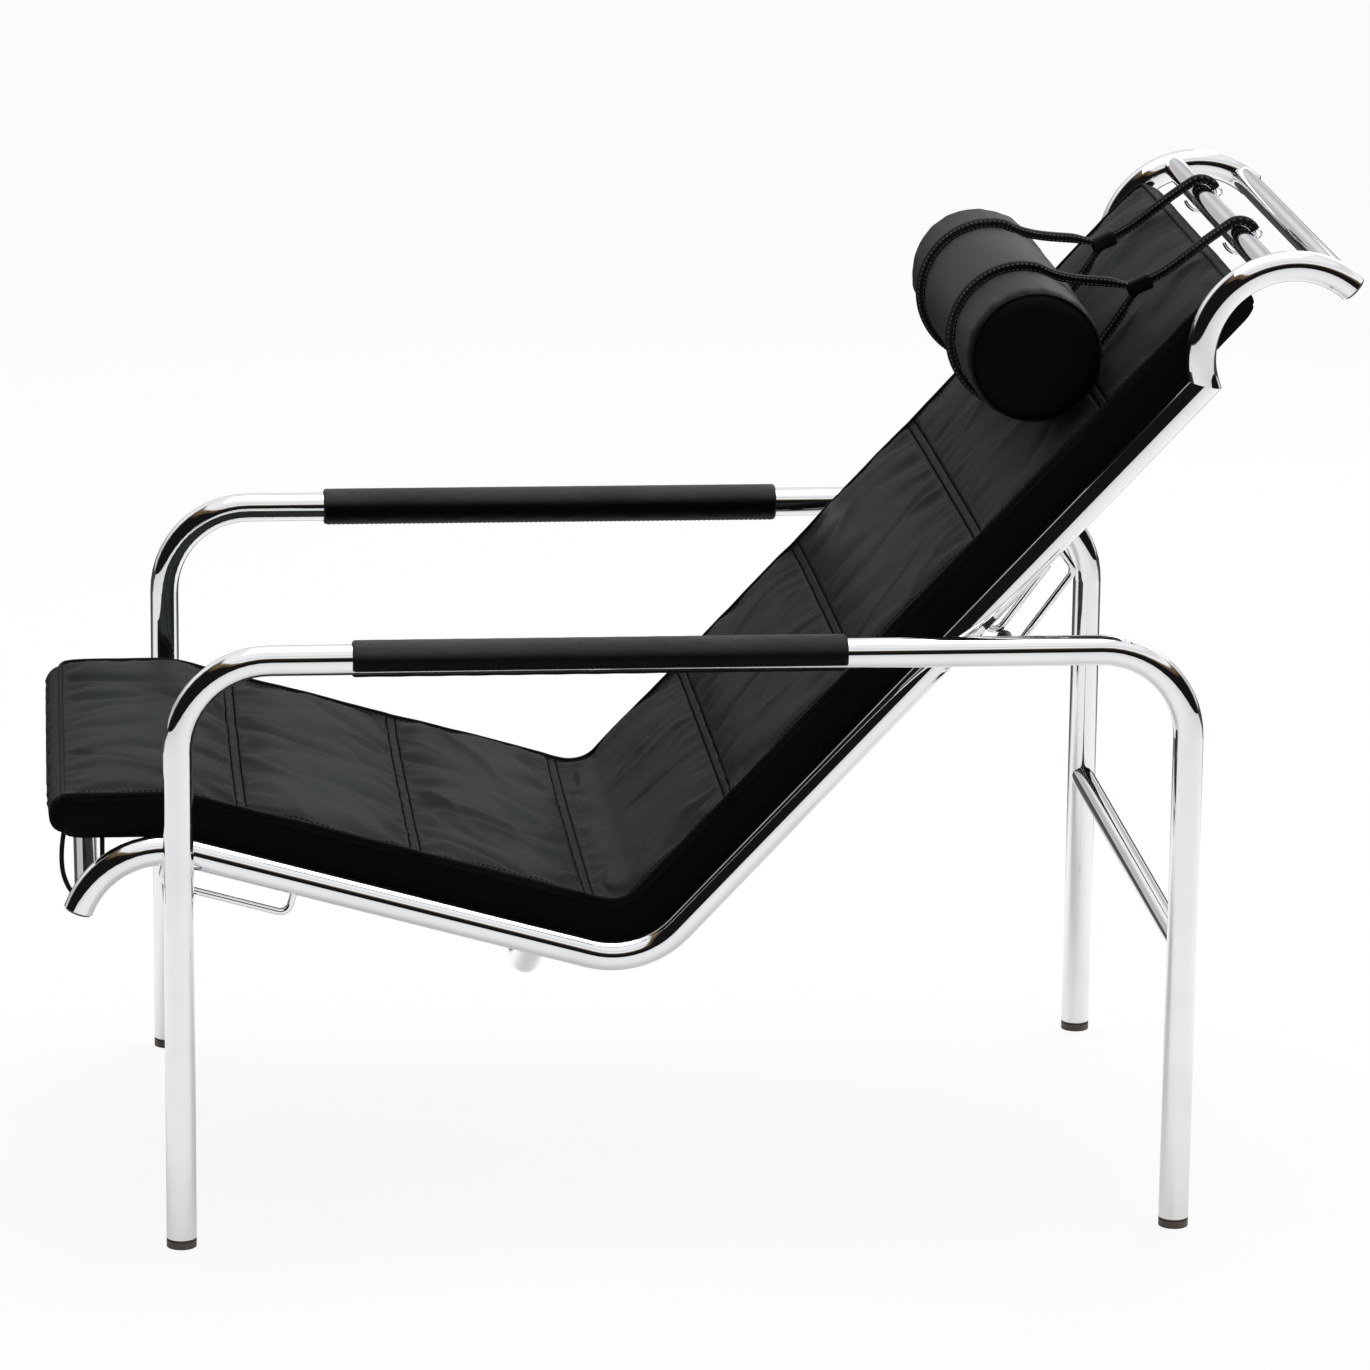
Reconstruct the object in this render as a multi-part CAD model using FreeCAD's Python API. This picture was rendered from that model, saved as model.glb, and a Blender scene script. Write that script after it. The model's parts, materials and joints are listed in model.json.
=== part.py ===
import FreeCAD, Part
import math
import os

# Chaise longue: a chromed tube base, a seat and back frame that swings on four studs, a sewn leather mat
# and a strapped headrest. Millimetres. X runs to the rear, Y to the sitter's right, Z up.
# The origin is on the floor under the middle of the whole object.

Vec = FreeCAD.Vector

# Tubes
TUBE_D = 25.0
TUBE_WALL = 2.0
BEND_R = 75.0
BAR_D = 20.0
BAR_WALL = 1.6
PLUG_DEPTH = 14.0
PLUG_FIT = 0.1

# Base: two side frames of leg, arm and leg
WHEELBASE = 832.0
SIDE_SPAN = 545.0
ARM_AXIS_Z = 500.0
FOOT_H = 8.0
FOOT_GROOVE = 1.0
CROSSBAR_Z = 242.0
PAD_FRONT = 142.0
PAD_LENGTH = 405.0
PAD_THICK = 3.3
PAD_OPEN_FROM_TURN = 29.0
PAD_OPEN_TO_TURN = 96.0

# Seat frame: rails of front bow, seat and back, then a head bow at a mitre
RAIL_INSET = 37.5
SEAT_SLOPE = 15.5
BACK_SLOPE = 46.9
CORNER_FROM_LEG = 384.0
CORNER_Z = 224.0
SEAT_RUN = 389.0
BACK_RUN = 671.5
FRONT_BOW_TURN = 86.0
FRONT_TUBE_FROM_END = 15.7
MITRE_TURN = 61.0
HEAD_BOW_TURN = 149.0
INNER_BAR_TURN = 92.0
OUTER_BAR_FROM_END = 11.8

# Bowed cross tube under the seat
STRETCHER_AT = 297.0
STRETCHER_DIP = 25.0
STRETCHER_SLOPE_RUN = 95.0
STRETCHER_R = 120.0

# Studs on the base and wire guides on the rails
SWING = 6.5
STUD_D = 8.0
BUSH_D = 12.0
BUSH_FIT = 0.05
STUD_CAP_D = 13.0
STUD_CAP_T = 4.0
STUD_PAST_GUIDE = 2.5
LEG_GAP = 0.3
GUIDE_D = 6.0
GUIDE_BEND_R = 9.0
SLOT_CLEAR = 0.8
SLOT_END_CLEAR = 2.5
REAR_SLOT_SLOPE = 54.0
REAR_STUD_BEHIND = 41.22
TOP_BAR_SLOPE = 125.0
FRONT_GUIDE_SPARE = 17.0

# Sling, hem rods and side springs, as heights above the rail axis
SLING_H = 6.4
SLING_T = 2.4
SLING_INSET = 57.0
SLING_FRONT_TRIM = 34.0
SLING_END_TRIM = 26.0
HEM_ROD_D = 4.0
HEM_WALL = 1.5
SPRING_H = 1.2
SPRING_R = 5.0
SPRING_WIRE = 1.8
SPRING_CURLS = 7
SPRING_PITCH = 2.9
SPRING_STUB = 2.2
SPRING_ELBOW = 3.0
SPRING_CUP_D = 14.6
SEAT_SPRINGS = 3
BACK_SPRINGS = 4

# Mat: sewn channels across, heights above the rail axis
MAT_INSET = 16.0
MAT_FRONT = 95.0
MAT_END_PAST_MITRE = 80.0
MAT_BOTTOM = 8.0
MAT_EDGE_H = 43.5
MAT_CROWN = 4.0
MAT_PITCH = 150.0
MAT_SEAT_SEAMS = 3
MAT_BACK_SEAMS = 4
SEAM_DEPTH = 5.0
SEAM_DRAW_IN = 4.0
MAT_END_ROUND = 13.0
MAT_SIDE_R = 7.0
MAT_TOP_R = 10.0
MAT_PANEL_SHARES = (0.06, 0.2, 0.5, 0.8, 0.94)
MAT_ROUND_SHARES = (0.15, 0.45, 1.0)
MAT_STEP_TURN = 6.0
MAT_LEAST_STEP = 1.5
TIE_D = 4.0
TIE_INSET = 43.0

# Headrest: a bolster on two straps
BOLSTER_D = 115.0
BOLSTER_INSET = 19.0
BOLSTER_EDGE_R = 19.0
BOLSTER_DOME = 6.0
BOLSTER_BELOW_MITRE = 81.0
STRAP_FROM_END = 104.0
STRAP_W = 8.0
STRAP_T = 6.0
STRAP_SINK = 2.4
STRAP_GROOVE_HALF = 10.0
KEEPER_L = 22.0
KEEPER_W = 13.0
KEEPER_WALL = 0.6
KEEPER_PAST_MITRE = 7.0
KEEPER_H = 64.5
STRAP_BACK_R = 0.6
HOOK_D = 3.0
HOOK_TURN = 190.0
STRAP_WRAP_TURN = 62.0

# Clearances
TOUCH = 0.3

# Values worked out from the sizes above
TUBE_R = TUBE_D / 2
LEG_X = WHEELBASE / 2
SIDE_Y = SIDE_SPAN / 2
RAIL_SPAN = SIDE_SPAN - 2 * RAIL_INSET
RAIL_Y = RAIL_SPAN / 2
MAT_W = RAIL_SPAN - 2 * MAT_INSET
SLING_W = RAIL_SPAN - 2 * SLING_INSET
TIE_Y = RAIL_Y - TIE_INSET
BOLSTER_L = MAT_W - 2 * BOLSTER_INSET
STRAP_Y = BOLSTER_L / 2 - STRAP_FROM_END
CORNER_X = -LEG_X + CORNER_FROM_LEG
CORNER_TURN = SEAT_SLOPE + BACK_SLOPE
CORNER_CUT = BEND_R * math.tan(math.radians(CORNER_TURN / 2))
SEAT_STRAIGHT = SEAT_RUN - CORNER_CUT
BACK_STRAIGHT = BACK_RUN - CORNER_CUT
FRONT_TUBE_TURN = FRONT_BOW_TURN - math.degrees(FRONT_TUBE_FROM_END / BEND_R)
OUTER_BAR_TURN = HEAD_BOW_TURN - math.degrees(OUTER_BAR_FROM_END / BEND_R)


def heading_vec(degrees):
    """Unit vector in the XZ plane at an angle from +X towards +Z."""
    return Vec(math.cos(math.radians(degrees)), 0, math.sin(math.radians(degrees)))


def left_vec(degrees):
    """Unit vector a quarter turn to the left of a heading."""
    return heading_vec(degrees + 90)


class Track:
    """A path in a plane of constant Y, drawn by straight runs and tangent bends."""

    def __init__(self, start, heading):
        self.start = Vec(start)
        self.first_heading = heading
        self.end = Vec(start)
        self.heading = heading
        self.edges = []
        self.pieces = []

    def run(self, length):
        first = Vec(self.end)
        self.end = first + heading_vec(self.heading) * length
        self.edges.append(Part.LineSegment(first, self.end).toShape())
        self.pieces.append((length, first, self.heading, 0.0, 0.0))
        return self

    def bend(self, turn, radius):
        """A positive turn goes to the left."""
        side = math.copysign(1.0, turn)
        first = Vec(self.end)
        centre = first + left_vec(self.heading) * (side * radius)
        middle = centre - left_vec(self.heading + turn / 2) * (side * radius)
        self.end = centre - left_vec(self.heading + turn) * (side * radius)
        self.edges.append(Part.Arc(first, middle, self.end).toShape())
        length = radius * math.radians(abs(turn))
        self.pieces.append((length, first, self.heading, turn, radius))
        self.heading += turn
        return self

    def length(self):
        return sum(piece[0] for piece in self.pieces)

    def at(self, distance):
        """Point and heading at a distance along the path."""
        rest = distance
        for piece in self.pieces[:-1]:
            if rest <= piece[0]:
                break
            rest -= piece[0]
        else:
            piece = self.pieces[-1]
        length, first, heading, turn, radius = piece
        if not turn:
            return first + heading_vec(heading) * rest, heading
        side = math.copysign(1.0, turn)
        turned = turn * rest / length
        centre = first + left_vec(heading) * (side * radius)
        return centre - left_vec(heading + turned) * (side * radius), heading + turned

    def wire(self):
        return Part.Wire(self.edges)


def rod(track, diameter):
    """Solid round bar along a track."""
    profile = Part.Wire(Part.makeCircle(diameter / 2, track.start, heading_vec(track.first_heading)))
    return track.wire().makePipeShell([profile], True, False)


def tube(track, diameter, wall):
    """Round tube along a track, open at both ends."""
    return rod(track, diameter).cut(rod(track, diameter - 2 * wall))


def at_y(shape, y):
    moved = shape.copy()
    moved.translate(Vec(0, y, 0))
    return moved


def both_sides(shape, y):
    """Two copies of a shape, one on each side of the middle plane."""
    return [at_y(shape, -y), at_y(shape, y)]


def mirrored(shape):
    return shape.mirror(Vec(0, 0, 0), Vec(0, 1, 0))


def mirrored_pair(shape):
    return [shape, mirrored(shape)]


def cylinder_y(x, z, diameter, y_from, y_to):
    return Part.makeCylinder(diameter / 2, y_to - y_from, Vec(x, y_from, z), Vec(0, 1, 0))


def beyond(point, heading, size):
    """A large block on the far side of a plane through a point, square to a heading."""
    block = Part.makeBox(size, 2 * size, 2 * size, Vec(0, -size, -size))
    block.rotate(Vec(0, 0, 0), Vec(0, 1, 0), -heading)
    block.translate(point)
    return block


def without(shape, cutters):
    for cutter in cutters:
        shape = shape.cut(cutter)
    return shape


# The seat frame's axis

CORNER = Vec(CORNER_X, 0, CORNER_Z)
MITRE = CORNER + heading_vec(BACK_SLOPE) * BACK_RUN
BOW_START = CORNER - heading_vec(-SEAT_SLOPE) * SEAT_RUN
FRONT_BOW_CENTRE = BOW_START - left_vec(-SEAT_SLOPE) * BEND_R
HEAD_HEADING = BACK_SLOPE + MITRE_TURN
HEAD_BOW_CENTRE = MITRE - left_vec(HEAD_HEADING) * BEND_R


def back_point(past_mitre, height):
    """A point by its distance along the back past the mitre and its height over the rail axis."""
    return MITRE + heading_vec(BACK_SLOPE) * past_mitre + left_vec(BACK_SLOPE) * height


def seat_point(before_corner, height):
    """A point by its distance along the seat in front of the corner and its height over the rail axis."""
    return CORNER - heading_vec(-SEAT_SLOPE) * before_corner + left_vec(-SEAT_SLOPE) * height


def front_bow_point(turn):
    """A point of the front bow's axis, by the turn from the seat run's end."""
    return FRONT_BOW_CENTRE + left_vec(turn - SEAT_SLOPE) * BEND_R


def head_bow_point(turn):
    """A point of the head bow's axis, by the turn from the mitre."""
    return HEAD_BOW_CENTRE + left_vec(HEAD_HEADING - turn) * BEND_R


def rail_track():
    start = back_point(TUBE_D, 0)
    track = Track(start, BACK_SLOPE + 180).run(BACK_STRAIGHT + TUBE_D)
    return track.bend(-CORNER_TURN, BEND_R).run(SEAT_STRAIGHT).bend(FRONT_BOW_TURN, BEND_R)


def head_bow_track():
    start = MITRE - heading_vec(HEAD_HEADING) * TUBE_D
    return Track(start, HEAD_HEADING).run(TUBE_D).bend(-HEAD_BOW_TURN, BEND_R)


def spine(height, front_trim=0.0, end_trim=0.0):
    """The mat's path, level at the front, at a height over the rail axis."""
    level = FRONT_BOW_CENTRE + Vec(-MAT_FRONT + front_trim, 0, BEND_R + height)
    track = Track(level, 0).run(MAT_FRONT - front_trim).bend(-SEAT_SLOPE, BEND_R + height)
    track.run(SEAT_STRAIGHT).bend(CORNER_TURN, BEND_R - height)
    return track.run(BACK_STRAIGHT + MAT_END_PAST_MITRE - end_trim)


RAIL_BARS = both_sides(rod(rail_track(), TUBE_D), RAIL_Y)
BOW_BARS = both_sides(rod(head_bow_track(), TUBE_D), RAIL_Y)


# Base

def side_track():
    leg = ARM_AXIS_Z - BEND_R - FOOT_H
    track = Track(Vec(-LEG_X, 0, FOOT_H), 90).run(leg).bend(-90, BEND_R)
    return track.run(WHEELBASE - 2 * BEND_R).bend(-90, BEND_R).run(leg)


SIDE_BARS = both_sides(rod(side_track(), TUBE_D), SIDE_Y)


def side_frames():
    return both_sides(tube(side_track(), TUBE_D, TUBE_WALL), SIDE_Y)


def base_crossbar(x):
    bar = cylinder_y(x, CROSSBAR_Z, BAR_D, -SIDE_Y, SIDE_Y)
    bore = cylinder_y(x, CROSSBAR_Z, BAR_D - 2 * BAR_WALL, -SIDE_Y, SIDE_Y)
    return without(bar.cut(bore), SIDE_BARS)


def foot_glide(x, y):
    """A disc under the leg with a plug in its bore and a groove round its rim."""
    disc = Part.makeCylinder(TUBE_R, FOOT_H, Vec(x, y, 0))
    ring = Part.makeCylinder(TUBE_D, FOOT_GROOVE, Vec(x, y, FOOT_H - 2 * FOOT_GROOVE))
    ring = ring.cut(Part.makeCylinder(TUBE_R - FOOT_GROOVE, FOOT_H, Vec(x, y, 0)))
    plug = Part.makeCylinder(TUBE_R - TUBE_WALL - PLUG_FIT, PLUG_DEPTH, Vec(x, y, FOOT_H))
    return disc.cut(ring).fuse(plug).removeSplitter()


def foot_glides():
    return [foot_glide(x, y) for x in (-LEG_X, LEG_X) for y in (-SIDE_Y, SIDE_Y)]


def arm_pad():
    """A wrap round the arm on the side of negative Y, open under its outer edge."""
    front = -LEG_X + PAD_FRONT
    axis = Vec(front, -SIDE_Y, ARM_AXIS_Z)
    wrap = Part.makeCylinder(TUBE_R + PAD_THICK, PAD_LENGTH, axis, Vec(1, 0, 0))
    wrap = wrap.cut(Part.makeCylinder(TUBE_R, PAD_LENGTH, axis, Vec(1, 0, 0)))
    reach = 2 * TUBE_D
    corners = [axis]
    for angle in (PAD_OPEN_FROM_TURN, (PAD_OPEN_FROM_TURN + PAD_OPEN_TO_TURN) / 2, PAD_OPEN_TO_TURN):
        turn = math.radians(angle)
        corners.append(axis + Vec(0, -reach * math.cos(turn), -reach * math.sin(turn)))
    wedge = Part.Face(Part.makePolygon(corners + [axis])).extrude(Vec(PAD_LENGTH, 0, 0))
    return wrap.cut(wedge)


# Swing on the studs: the seat turns about the point where the normals of both slots meet

SLOT_OFFSET = TUBE_R + SLOT_CLEAR + BUSH_D / 2
FRONT_STUD = Vec(-LEG_X, 0, CORNER_Z - (-LEG_X - CORNER_X) * math.tan(math.radians(SEAT_SLOPE))
                 - SLOT_OFFSET / math.cos(math.radians(SEAT_SLOPE)))
RAIL_AT_ARM_X = CORNER_X + (ARM_AXIS_Z - CORNER_Z) / math.tan(math.radians(BACK_SLOPE))
REAR_STUD = Vec(RAIL_AT_ARM_X + REAR_STUD_BEHIND, 0, ARM_AXIS_Z)


def meet(point_a, heading_a, point_b, heading_b):
    """The point where two lines in the XZ plane cross."""
    a = heading_vec(heading_a)
    b = heading_vec(heading_b)
    gap = point_b - point_a
    along = (gap.x * b.z - gap.z * b.x) / (a.x * b.z - a.z * b.x)
    return point_a + a * along


SWING_CENTRE = meet(FRONT_STUD, 90 - SEAT_SLOPE - SWING / 2, REAR_STUD, 90 + REAR_SLOT_SLOPE - SWING / 2)
FRONT_SWING_R = (FRONT_STUD - SWING_CENTRE).Length
REAR_SWING_R = (REAR_STUD - SWING_CENTRE).Length
FRONT_TRAVEL = 2 * FRONT_SWING_R * math.sin(math.radians(SWING / 2))
REAR_TRAVEL = 2 * REAR_SWING_R * math.sin(math.radians(SWING / 2))
FRONT_SAG = FRONT_SWING_R * (1 - math.cos(math.radians(SWING / 2)))
REAR_SAG = REAR_SWING_R * (1 - math.cos(math.radians(SWING / 2)))
GUIDE_REACH = BUSH_D / 2 + SLOT_CLEAR + GUIDE_D / 2
STUD_INNER_Y = RAIL_Y - GUIDE_D / 2 - STUD_PAST_GUIDE
BUSH_OUTER_Y = SIDE_Y - TUBE_R - LEG_GAP


def studs(place):
    inner = STUD_INNER_Y - STUD_CAP_T
    shaft = without(cylinder_y(place.x, place.z, STUD_D, inner, SIDE_Y), SIDE_BARS)
    return mirrored_pair(shaft)


def stud_bushes():
    out = []
    for place in (FRONT_STUD, REAR_STUD):
        bush = cylinder_y(place.x, place.z, BUSH_D, STUD_INNER_Y, BUSH_OUTER_Y)
        bore = cylinder_y(place.x, place.z, STUD_D + 2 * BUSH_FIT, STUD_INNER_Y, BUSH_OUTER_Y)
        out += mirrored_pair(bush.cut(bore))
    return out


def stud_caps():
    """A domed cap on each stud's inner end, which keeps the bush on."""
    out = []
    for place in (FRONT_STUD, REAR_STUD):
        outer = STUD_INNER_Y - BUSH_FIT
        cap = cylinder_y(place.x, place.z, STUD_CAP_D, outer - STUD_CAP_T, outer)
        cap = cap.makeFillet(STUD_CAP_T / 4, [edge for edge in cap.Edges if edge.CenterOfMass.y < outer - 1
                                              and len(edge.Vertexes) == 1])
        out += mirrored_pair(cap.cut(cylinder_y(place.x, place.z, STUD_D + 2 * BUSH_FIT, 0, SIDE_Y)))
    return out


def staple(corners):
    """A wire guide through four points, rounded at the middle two."""
    first, low, high, last = corners
    turns = []
    for a, b in ((first, low), (low, high), (high, last)):
        turns.append(math.degrees(math.atan2(b.z - a.z, b.x - a.x)))
    bends = [(turns[i + 1] - turns[i] + 180) % 360 - 180 for i in (0, 1)]
    cuts = [GUIDE_BEND_R * math.tan(math.radians(abs(bend) / 2)) for bend in bends]
    track = Track(first, turns[0]).run((low - first).Length - cuts[0]).bend(bends[0], GUIDE_BEND_R)
    track.run((high - low).Length - cuts[0] - cuts[1]).bend(bends[1], GUIDE_BEND_R)
    return rod(track.run((last - high).Length - cuts[1]), GUIDE_D)


def front_guides():
    """A staple under each rail: the front studs run between it and the rail."""
    depth = -(TUBE_R + 2 * SLOT_CLEAR + BUSH_D + FRONT_SAG + GUIDE_D / 2)
    stud_at = FRONT_STUD - CORNER
    before = -(stud_at.dot(heading_vec(-SEAT_SLOPE)))
    ahead = before + GUIDE_REACH + SLOT_END_CLEAR
    behind = before - FRONT_TRAVEL - GUIDE_REACH - FRONT_GUIDE_SPARE
    corners = [seat_point(ahead, 0), seat_point(ahead, depth)]
    corners += [seat_point(behind, depth), seat_point(behind, 0)]
    bars = both_sides(staple(corners), RAIL_Y)
    return [bar.cut(rail) for bar, rail in zip(bars, RAIL_BARS)]


def rear_slot_point(along, across):
    """A point of the rear slot: along it from the stud at rest, and across it away from the rail."""
    return REAR_STUD + heading_vec(REAR_SLOT_SLOPE) * along - left_vec(REAR_SLOT_SLOPE) * across


def on_rail(point, heading):
    """Where a line from a point meets the back rail's axis."""
    return meet(point, heading, MITRE, BACK_SLOPE)


def rear_guides():
    """An outer and an inner staple under each back rail: the rear studs run between them."""
    outer = GUIDE_REACH + REAR_SAG
    low = rear_slot_point(-GUIDE_REACH - SLOT_END_CLEAR, outer)
    top_clear = (GUIDE_REACH + SLOT_END_CLEAR) / math.sin(math.radians(TOP_BAR_SLOPE - REAR_SLOT_SLOPE))
    lean = outer / math.tan(math.radians(TOP_BAR_SLOPE - REAR_SLOT_SLOPE))
    high = rear_slot_point(REAR_TRAVEL + top_clear - lean, outer)
    big = staple([on_rail(low, REAR_SLOT_SLOPE + 90), low, high, on_rail(high, TOP_BAR_SLOPE)])
    inner_low = rear_slot_point(0, -GUIDE_REACH)
    foot = on_rail(inner_low, REAR_SLOT_SLOPE + 90)
    to_foot = (foot - inner_low).Length
    small = Track(foot, REAR_SLOT_SLOPE - 90).run(to_foot - GUIDE_BEND_R).bend(90, GUIDE_BEND_R)
    small = rod(small.run(REAR_TRAVEL - GUIDE_BEND_R), GUIDE_D)
    out = []
    for side, rail in zip((-RAIL_Y, RAIL_Y), RAIL_BARS):
        out += [at_y(big, side).cut(rail), at_y(small, side).cut(rail)]
    return out


# Seat frame

def mitre_planes():
    bisector = BACK_SLOPE + MITRE_TURN / 2
    return beyond(MITRE, bisector, 4 * BEND_R), beyond(MITRE, bisector + 180, 4 * BEND_R)


def seat_rails():
    rail = tube(rail_track(), TUBE_D, TUBE_WALL)
    return both_sides(rail.cut(mitre_planes()[0]), RAIL_Y)


def head_bows():
    bow = tube(head_bow_track(), TUBE_D, TUBE_WALL)
    return both_sides(bow.cut(mitre_planes()[1]), RAIL_Y)


def bow_plug(track):
    """A plug in the open end of a bow, with a thin domed rim."""
    out = heading_vec(track.heading)
    stem = Track(track.end - out * TUBE_WALL, track.heading).run(TUBE_WALL)
    plug = rod(stem, TUBE_D - 2 * TUBE_WALL - 2 * PLUG_FIT)
    rim = Part.makeCone(TUBE_R, TUBE_R - TUBE_WALL, TUBE_WALL, track.end, out)
    return plug.fuse(rim).removeSplitter()


def bow_plugs():
    return both_sides(bow_plug(rail_track()), RAIL_Y) + both_sides(bow_plug(head_bow_track()), RAIL_Y)


def rail_bar(point, cutters):
    bar = cylinder_y(point.x, point.z, BAR_D, -RAIL_Y, RAIL_Y)
    bore = cylinder_y(point.x, point.z, BAR_D - 2 * BAR_WALL, -RAIL_Y, RAIL_Y)
    return without(bar.cut(bore), cutters)


def stretcher():
    """A tube from rail to rail that dips under the sling."""
    place = seat_point(SEAT_RUN - STRETCHER_AT, 0)
    slope = STRETCHER_SLOPE_RUN / math.cos(math.radians(STRETCHER_DIP))
    arc = STRETCHER_R * math.sin(math.radians(STRETCHER_DIP))
    level = RAIL_SPAN - 2 * (STRETCHER_SLOPE_RUN + arc)
    track = Track(Vec(-RAIL_Y, 0, 0), -STRETCHER_DIP).run(slope).bend(STRETCHER_DIP, STRETCHER_R)
    track.run(level).bend(STRETCHER_DIP, STRETCHER_R).run(slope)
    bar = tube(track, TUBE_D, TUBE_WALL)
    bar.rotate(Vec(0, 0, 0), Vec(0, 0, 1), 90)
    bar.translate(place)
    return without(bar, RAIL_BARS)


# Suspension

HEM_D = HEM_ROD_D + 2 * HEM_WALL
HEM_Y = SLING_W / 2


def sling():
    """A sheet along the mat's underside, with a hem round a rod at each side."""
    low = spine(SLING_H - SLING_T / 2, SLING_FRONT_TRIM, SLING_END_TRIM)
    high = spine(SLING_H + SLING_T / 2, SLING_FRONT_TRIM, SLING_END_TRIM)
    ends = [Part.LineSegment(low.start, high.start).toShape(), Part.LineSegment(low.end, high.end).toShape()]
    outline = Part.Wire(Part.__sortEdges__(low.edges + high.edges + ends))
    sheet = Part.Face(outline).extrude(Vec(0, SLING_W, 0))
    sheet.translate(Vec(0, -HEM_Y, 0))
    hem = spine(SLING_H + SLING_T / 2 - HEM_D / 2, SLING_FRONT_TRIM, SLING_END_TRIM)
    for bar in both_sides(rod(hem, HEM_D), HEM_Y):
        sheet = sheet.fuse(bar)
    return without(sheet.removeSplitter(), sling_rods())


def sling_rods():
    core = spine(SLING_H + SLING_T / 2 - HEM_D / 2, SLING_FRONT_TRIM, SLING_END_TRIM)
    return both_sides(rod(core, HEM_ROD_D), HEM_Y)


def biarc(first, first_way, last, last_way):
    """Two tangent arcs between two points with given directions."""
    span = last - first
    both = first_way + last_way
    spread = 2 * (1 - first_way.dot(last_way))
    along = span.dot(both)
    reach = (math.sqrt(along * along + spread * span.dot(span)) - along) / spread
    joint = (first + first_way * reach + last - last_way * reach) * 0.5
    arcs = []
    for start, way, end in ((first, first_way, joint), (last, -last_way, joint)):
        chord = end - start
        across = chord - way * chord.dot(way)
        half = math.atan2(across.Length, chord.dot(way))
        centre_way = Vec(across).normalize()
        radius = chord.Length / (2 * math.sin(half))
        centre = start + centre_way * radius
        middle = centre + (way * math.sin(half) - centre_way * math.cos(half)) * radius
        ends = (start, middle, end) if start is first else (end, middle, start)
        arcs.append(Part.Arc(*ends).toShape())
    return arcs


SPRING_L = SPRING_CURLS * SPRING_PITCH + 2 * (SPRING_STUB + SPRING_ELBOW)


def spring_path():
    """A close helix along +Y with a straight stub, square to its seat, at each end."""
    lead = SPRING_PITCH / (2 * math.pi)

    def helix(half_turns):
        turn = math.pi * half_turns
        along = SPRING_STUB + SPRING_ELBOW + SPRING_PITCH * half_turns / 2
        point = Vec(SPRING_R * math.cos(turn), along, SPRING_R * math.sin(turn))
        way = Vec(-SPRING_R * math.sin(turn), lead, SPRING_R * math.cos(turn)).normalize()
        return point, way

    stub = Vec(SPRING_R, 0, -SPRING_ELBOW)
    ahead = Vec(0, 1, 0)
    elbow = stub + ahead * SPRING_STUB
    edges = [Part.LineSegment(stub, elbow).toShape()]
    place, way = helix(0)
    edges += biarc(elbow, ahead, place, way)
    for half in range(1, 2 * SPRING_CURLS + 1):
        next_place, next_way = helix(half)
        edges += biarc(place, way, next_place, next_way)
        place, way = next_place, next_way
    tail = Vec(SPRING_R, SPRING_L - SPRING_STUB, SPRING_ELBOW)
    edges += biarc(place, way, tail, ahead)
    edges.append(Part.LineSegment(tail, tail + ahead * SPRING_STUB).toShape())
    return edges


def spring_gap(edges):
    """Least gap of the spring's wire to itself, measured on points of its path."""
    points = []
    for edge in edges:
        points += edge.discretize(9)[:-1]
    step = math.pi * SPRING_R / 16
    skip = int(math.pi * SPRING_R / step)
    least = min((a - b).Length for i, a in enumerate(points) for b in points[i + skip:])
    return least - SPRING_WIRE


def spring_stations():
    """Distances of the springs along the mat's path: before the stretcher on the seat, and on the back."""
    axis = spine(SPRING_H)
    level, front_arc, seat, corner = [piece[0] for piece in axis.pieces[:4]]
    seat_from = level + front_arc
    back_from = seat_from + seat + corner
    stations = [seat_from + STRETCHER_AT * (number + 0.5) / SEAT_SPRINGS for number in range(SEAT_SPRINGS)]
    stations += [back_from + BACK_STRAIGHT * (number + 0.5) / BACK_SPRINGS for number in range(BACK_SPRINGS)]
    return [axis.at(distance) for distance in stations]


def springs():
    """Side springs from the rails to the sling's hems."""
    edges = spring_path()
    profile = Part.Wire(Part.makeCircle(SPRING_WIRE / 2, edges[0].Vertexes[0].Point, Vec(0, 1, 0)))
    one = Part.Wire(edges).makePipeShell([profile], True, False)
    print("spring: least gap to itself %.2f mm, length %.1f mm" % (spring_gap(edges), SPRING_L))
    out = []
    for place, heading in spring_stations():
        spring = one.copy()
        spring.rotate(Vec(0, 0, 0), Vec(0, 1, 0), -heading)
        spring.translate(place + Vec(0, SPRING_INNER_Y, 0))
        out.append(spring)
    return out


SPRING_INNER_Y = HEM_Y + HEM_D / 2 + 2 * HEM_WALL
SPRING_OUTER_Y = SPRING_INNER_Y + SPRING_L


def spring_cups():
    """A cup on the rail at the outer end of each spring."""
    out = []
    for place, heading in spring_stations():
        cup = cylinder_y(place.x, place.z, SPRING_CUP_D, SPRING_OUTER_Y, RAIL_Y)
        out += mirrored_pair(without(cup, RAIL_BARS))
    return out


def sling_eyes():
    """A stud on the hem at the inner end of each spring."""
    hem = rod(spine(SLING_H + SLING_T / 2 - HEM_D / 2, SLING_FRONT_TRIM, SLING_END_TRIM), HEM_D)
    out = []
    for place, heading in spring_stations():
        eye = cylinder_y(place.x, place.z, SPRING_CUP_D, HEM_Y, SPRING_INNER_Y)
        sheet_top = place + left_vec(heading) * (SLING_H - SLING_T / 2 - SPRING_H)
        eye = eye.cut(beyond(sheet_top, heading + 90, 2 * SPRING_CUP_D + HEM_Y))
        out += mirrored_pair(eye.cut(at_y(hem, HEM_Y)))
    return out


# Mat

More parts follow.
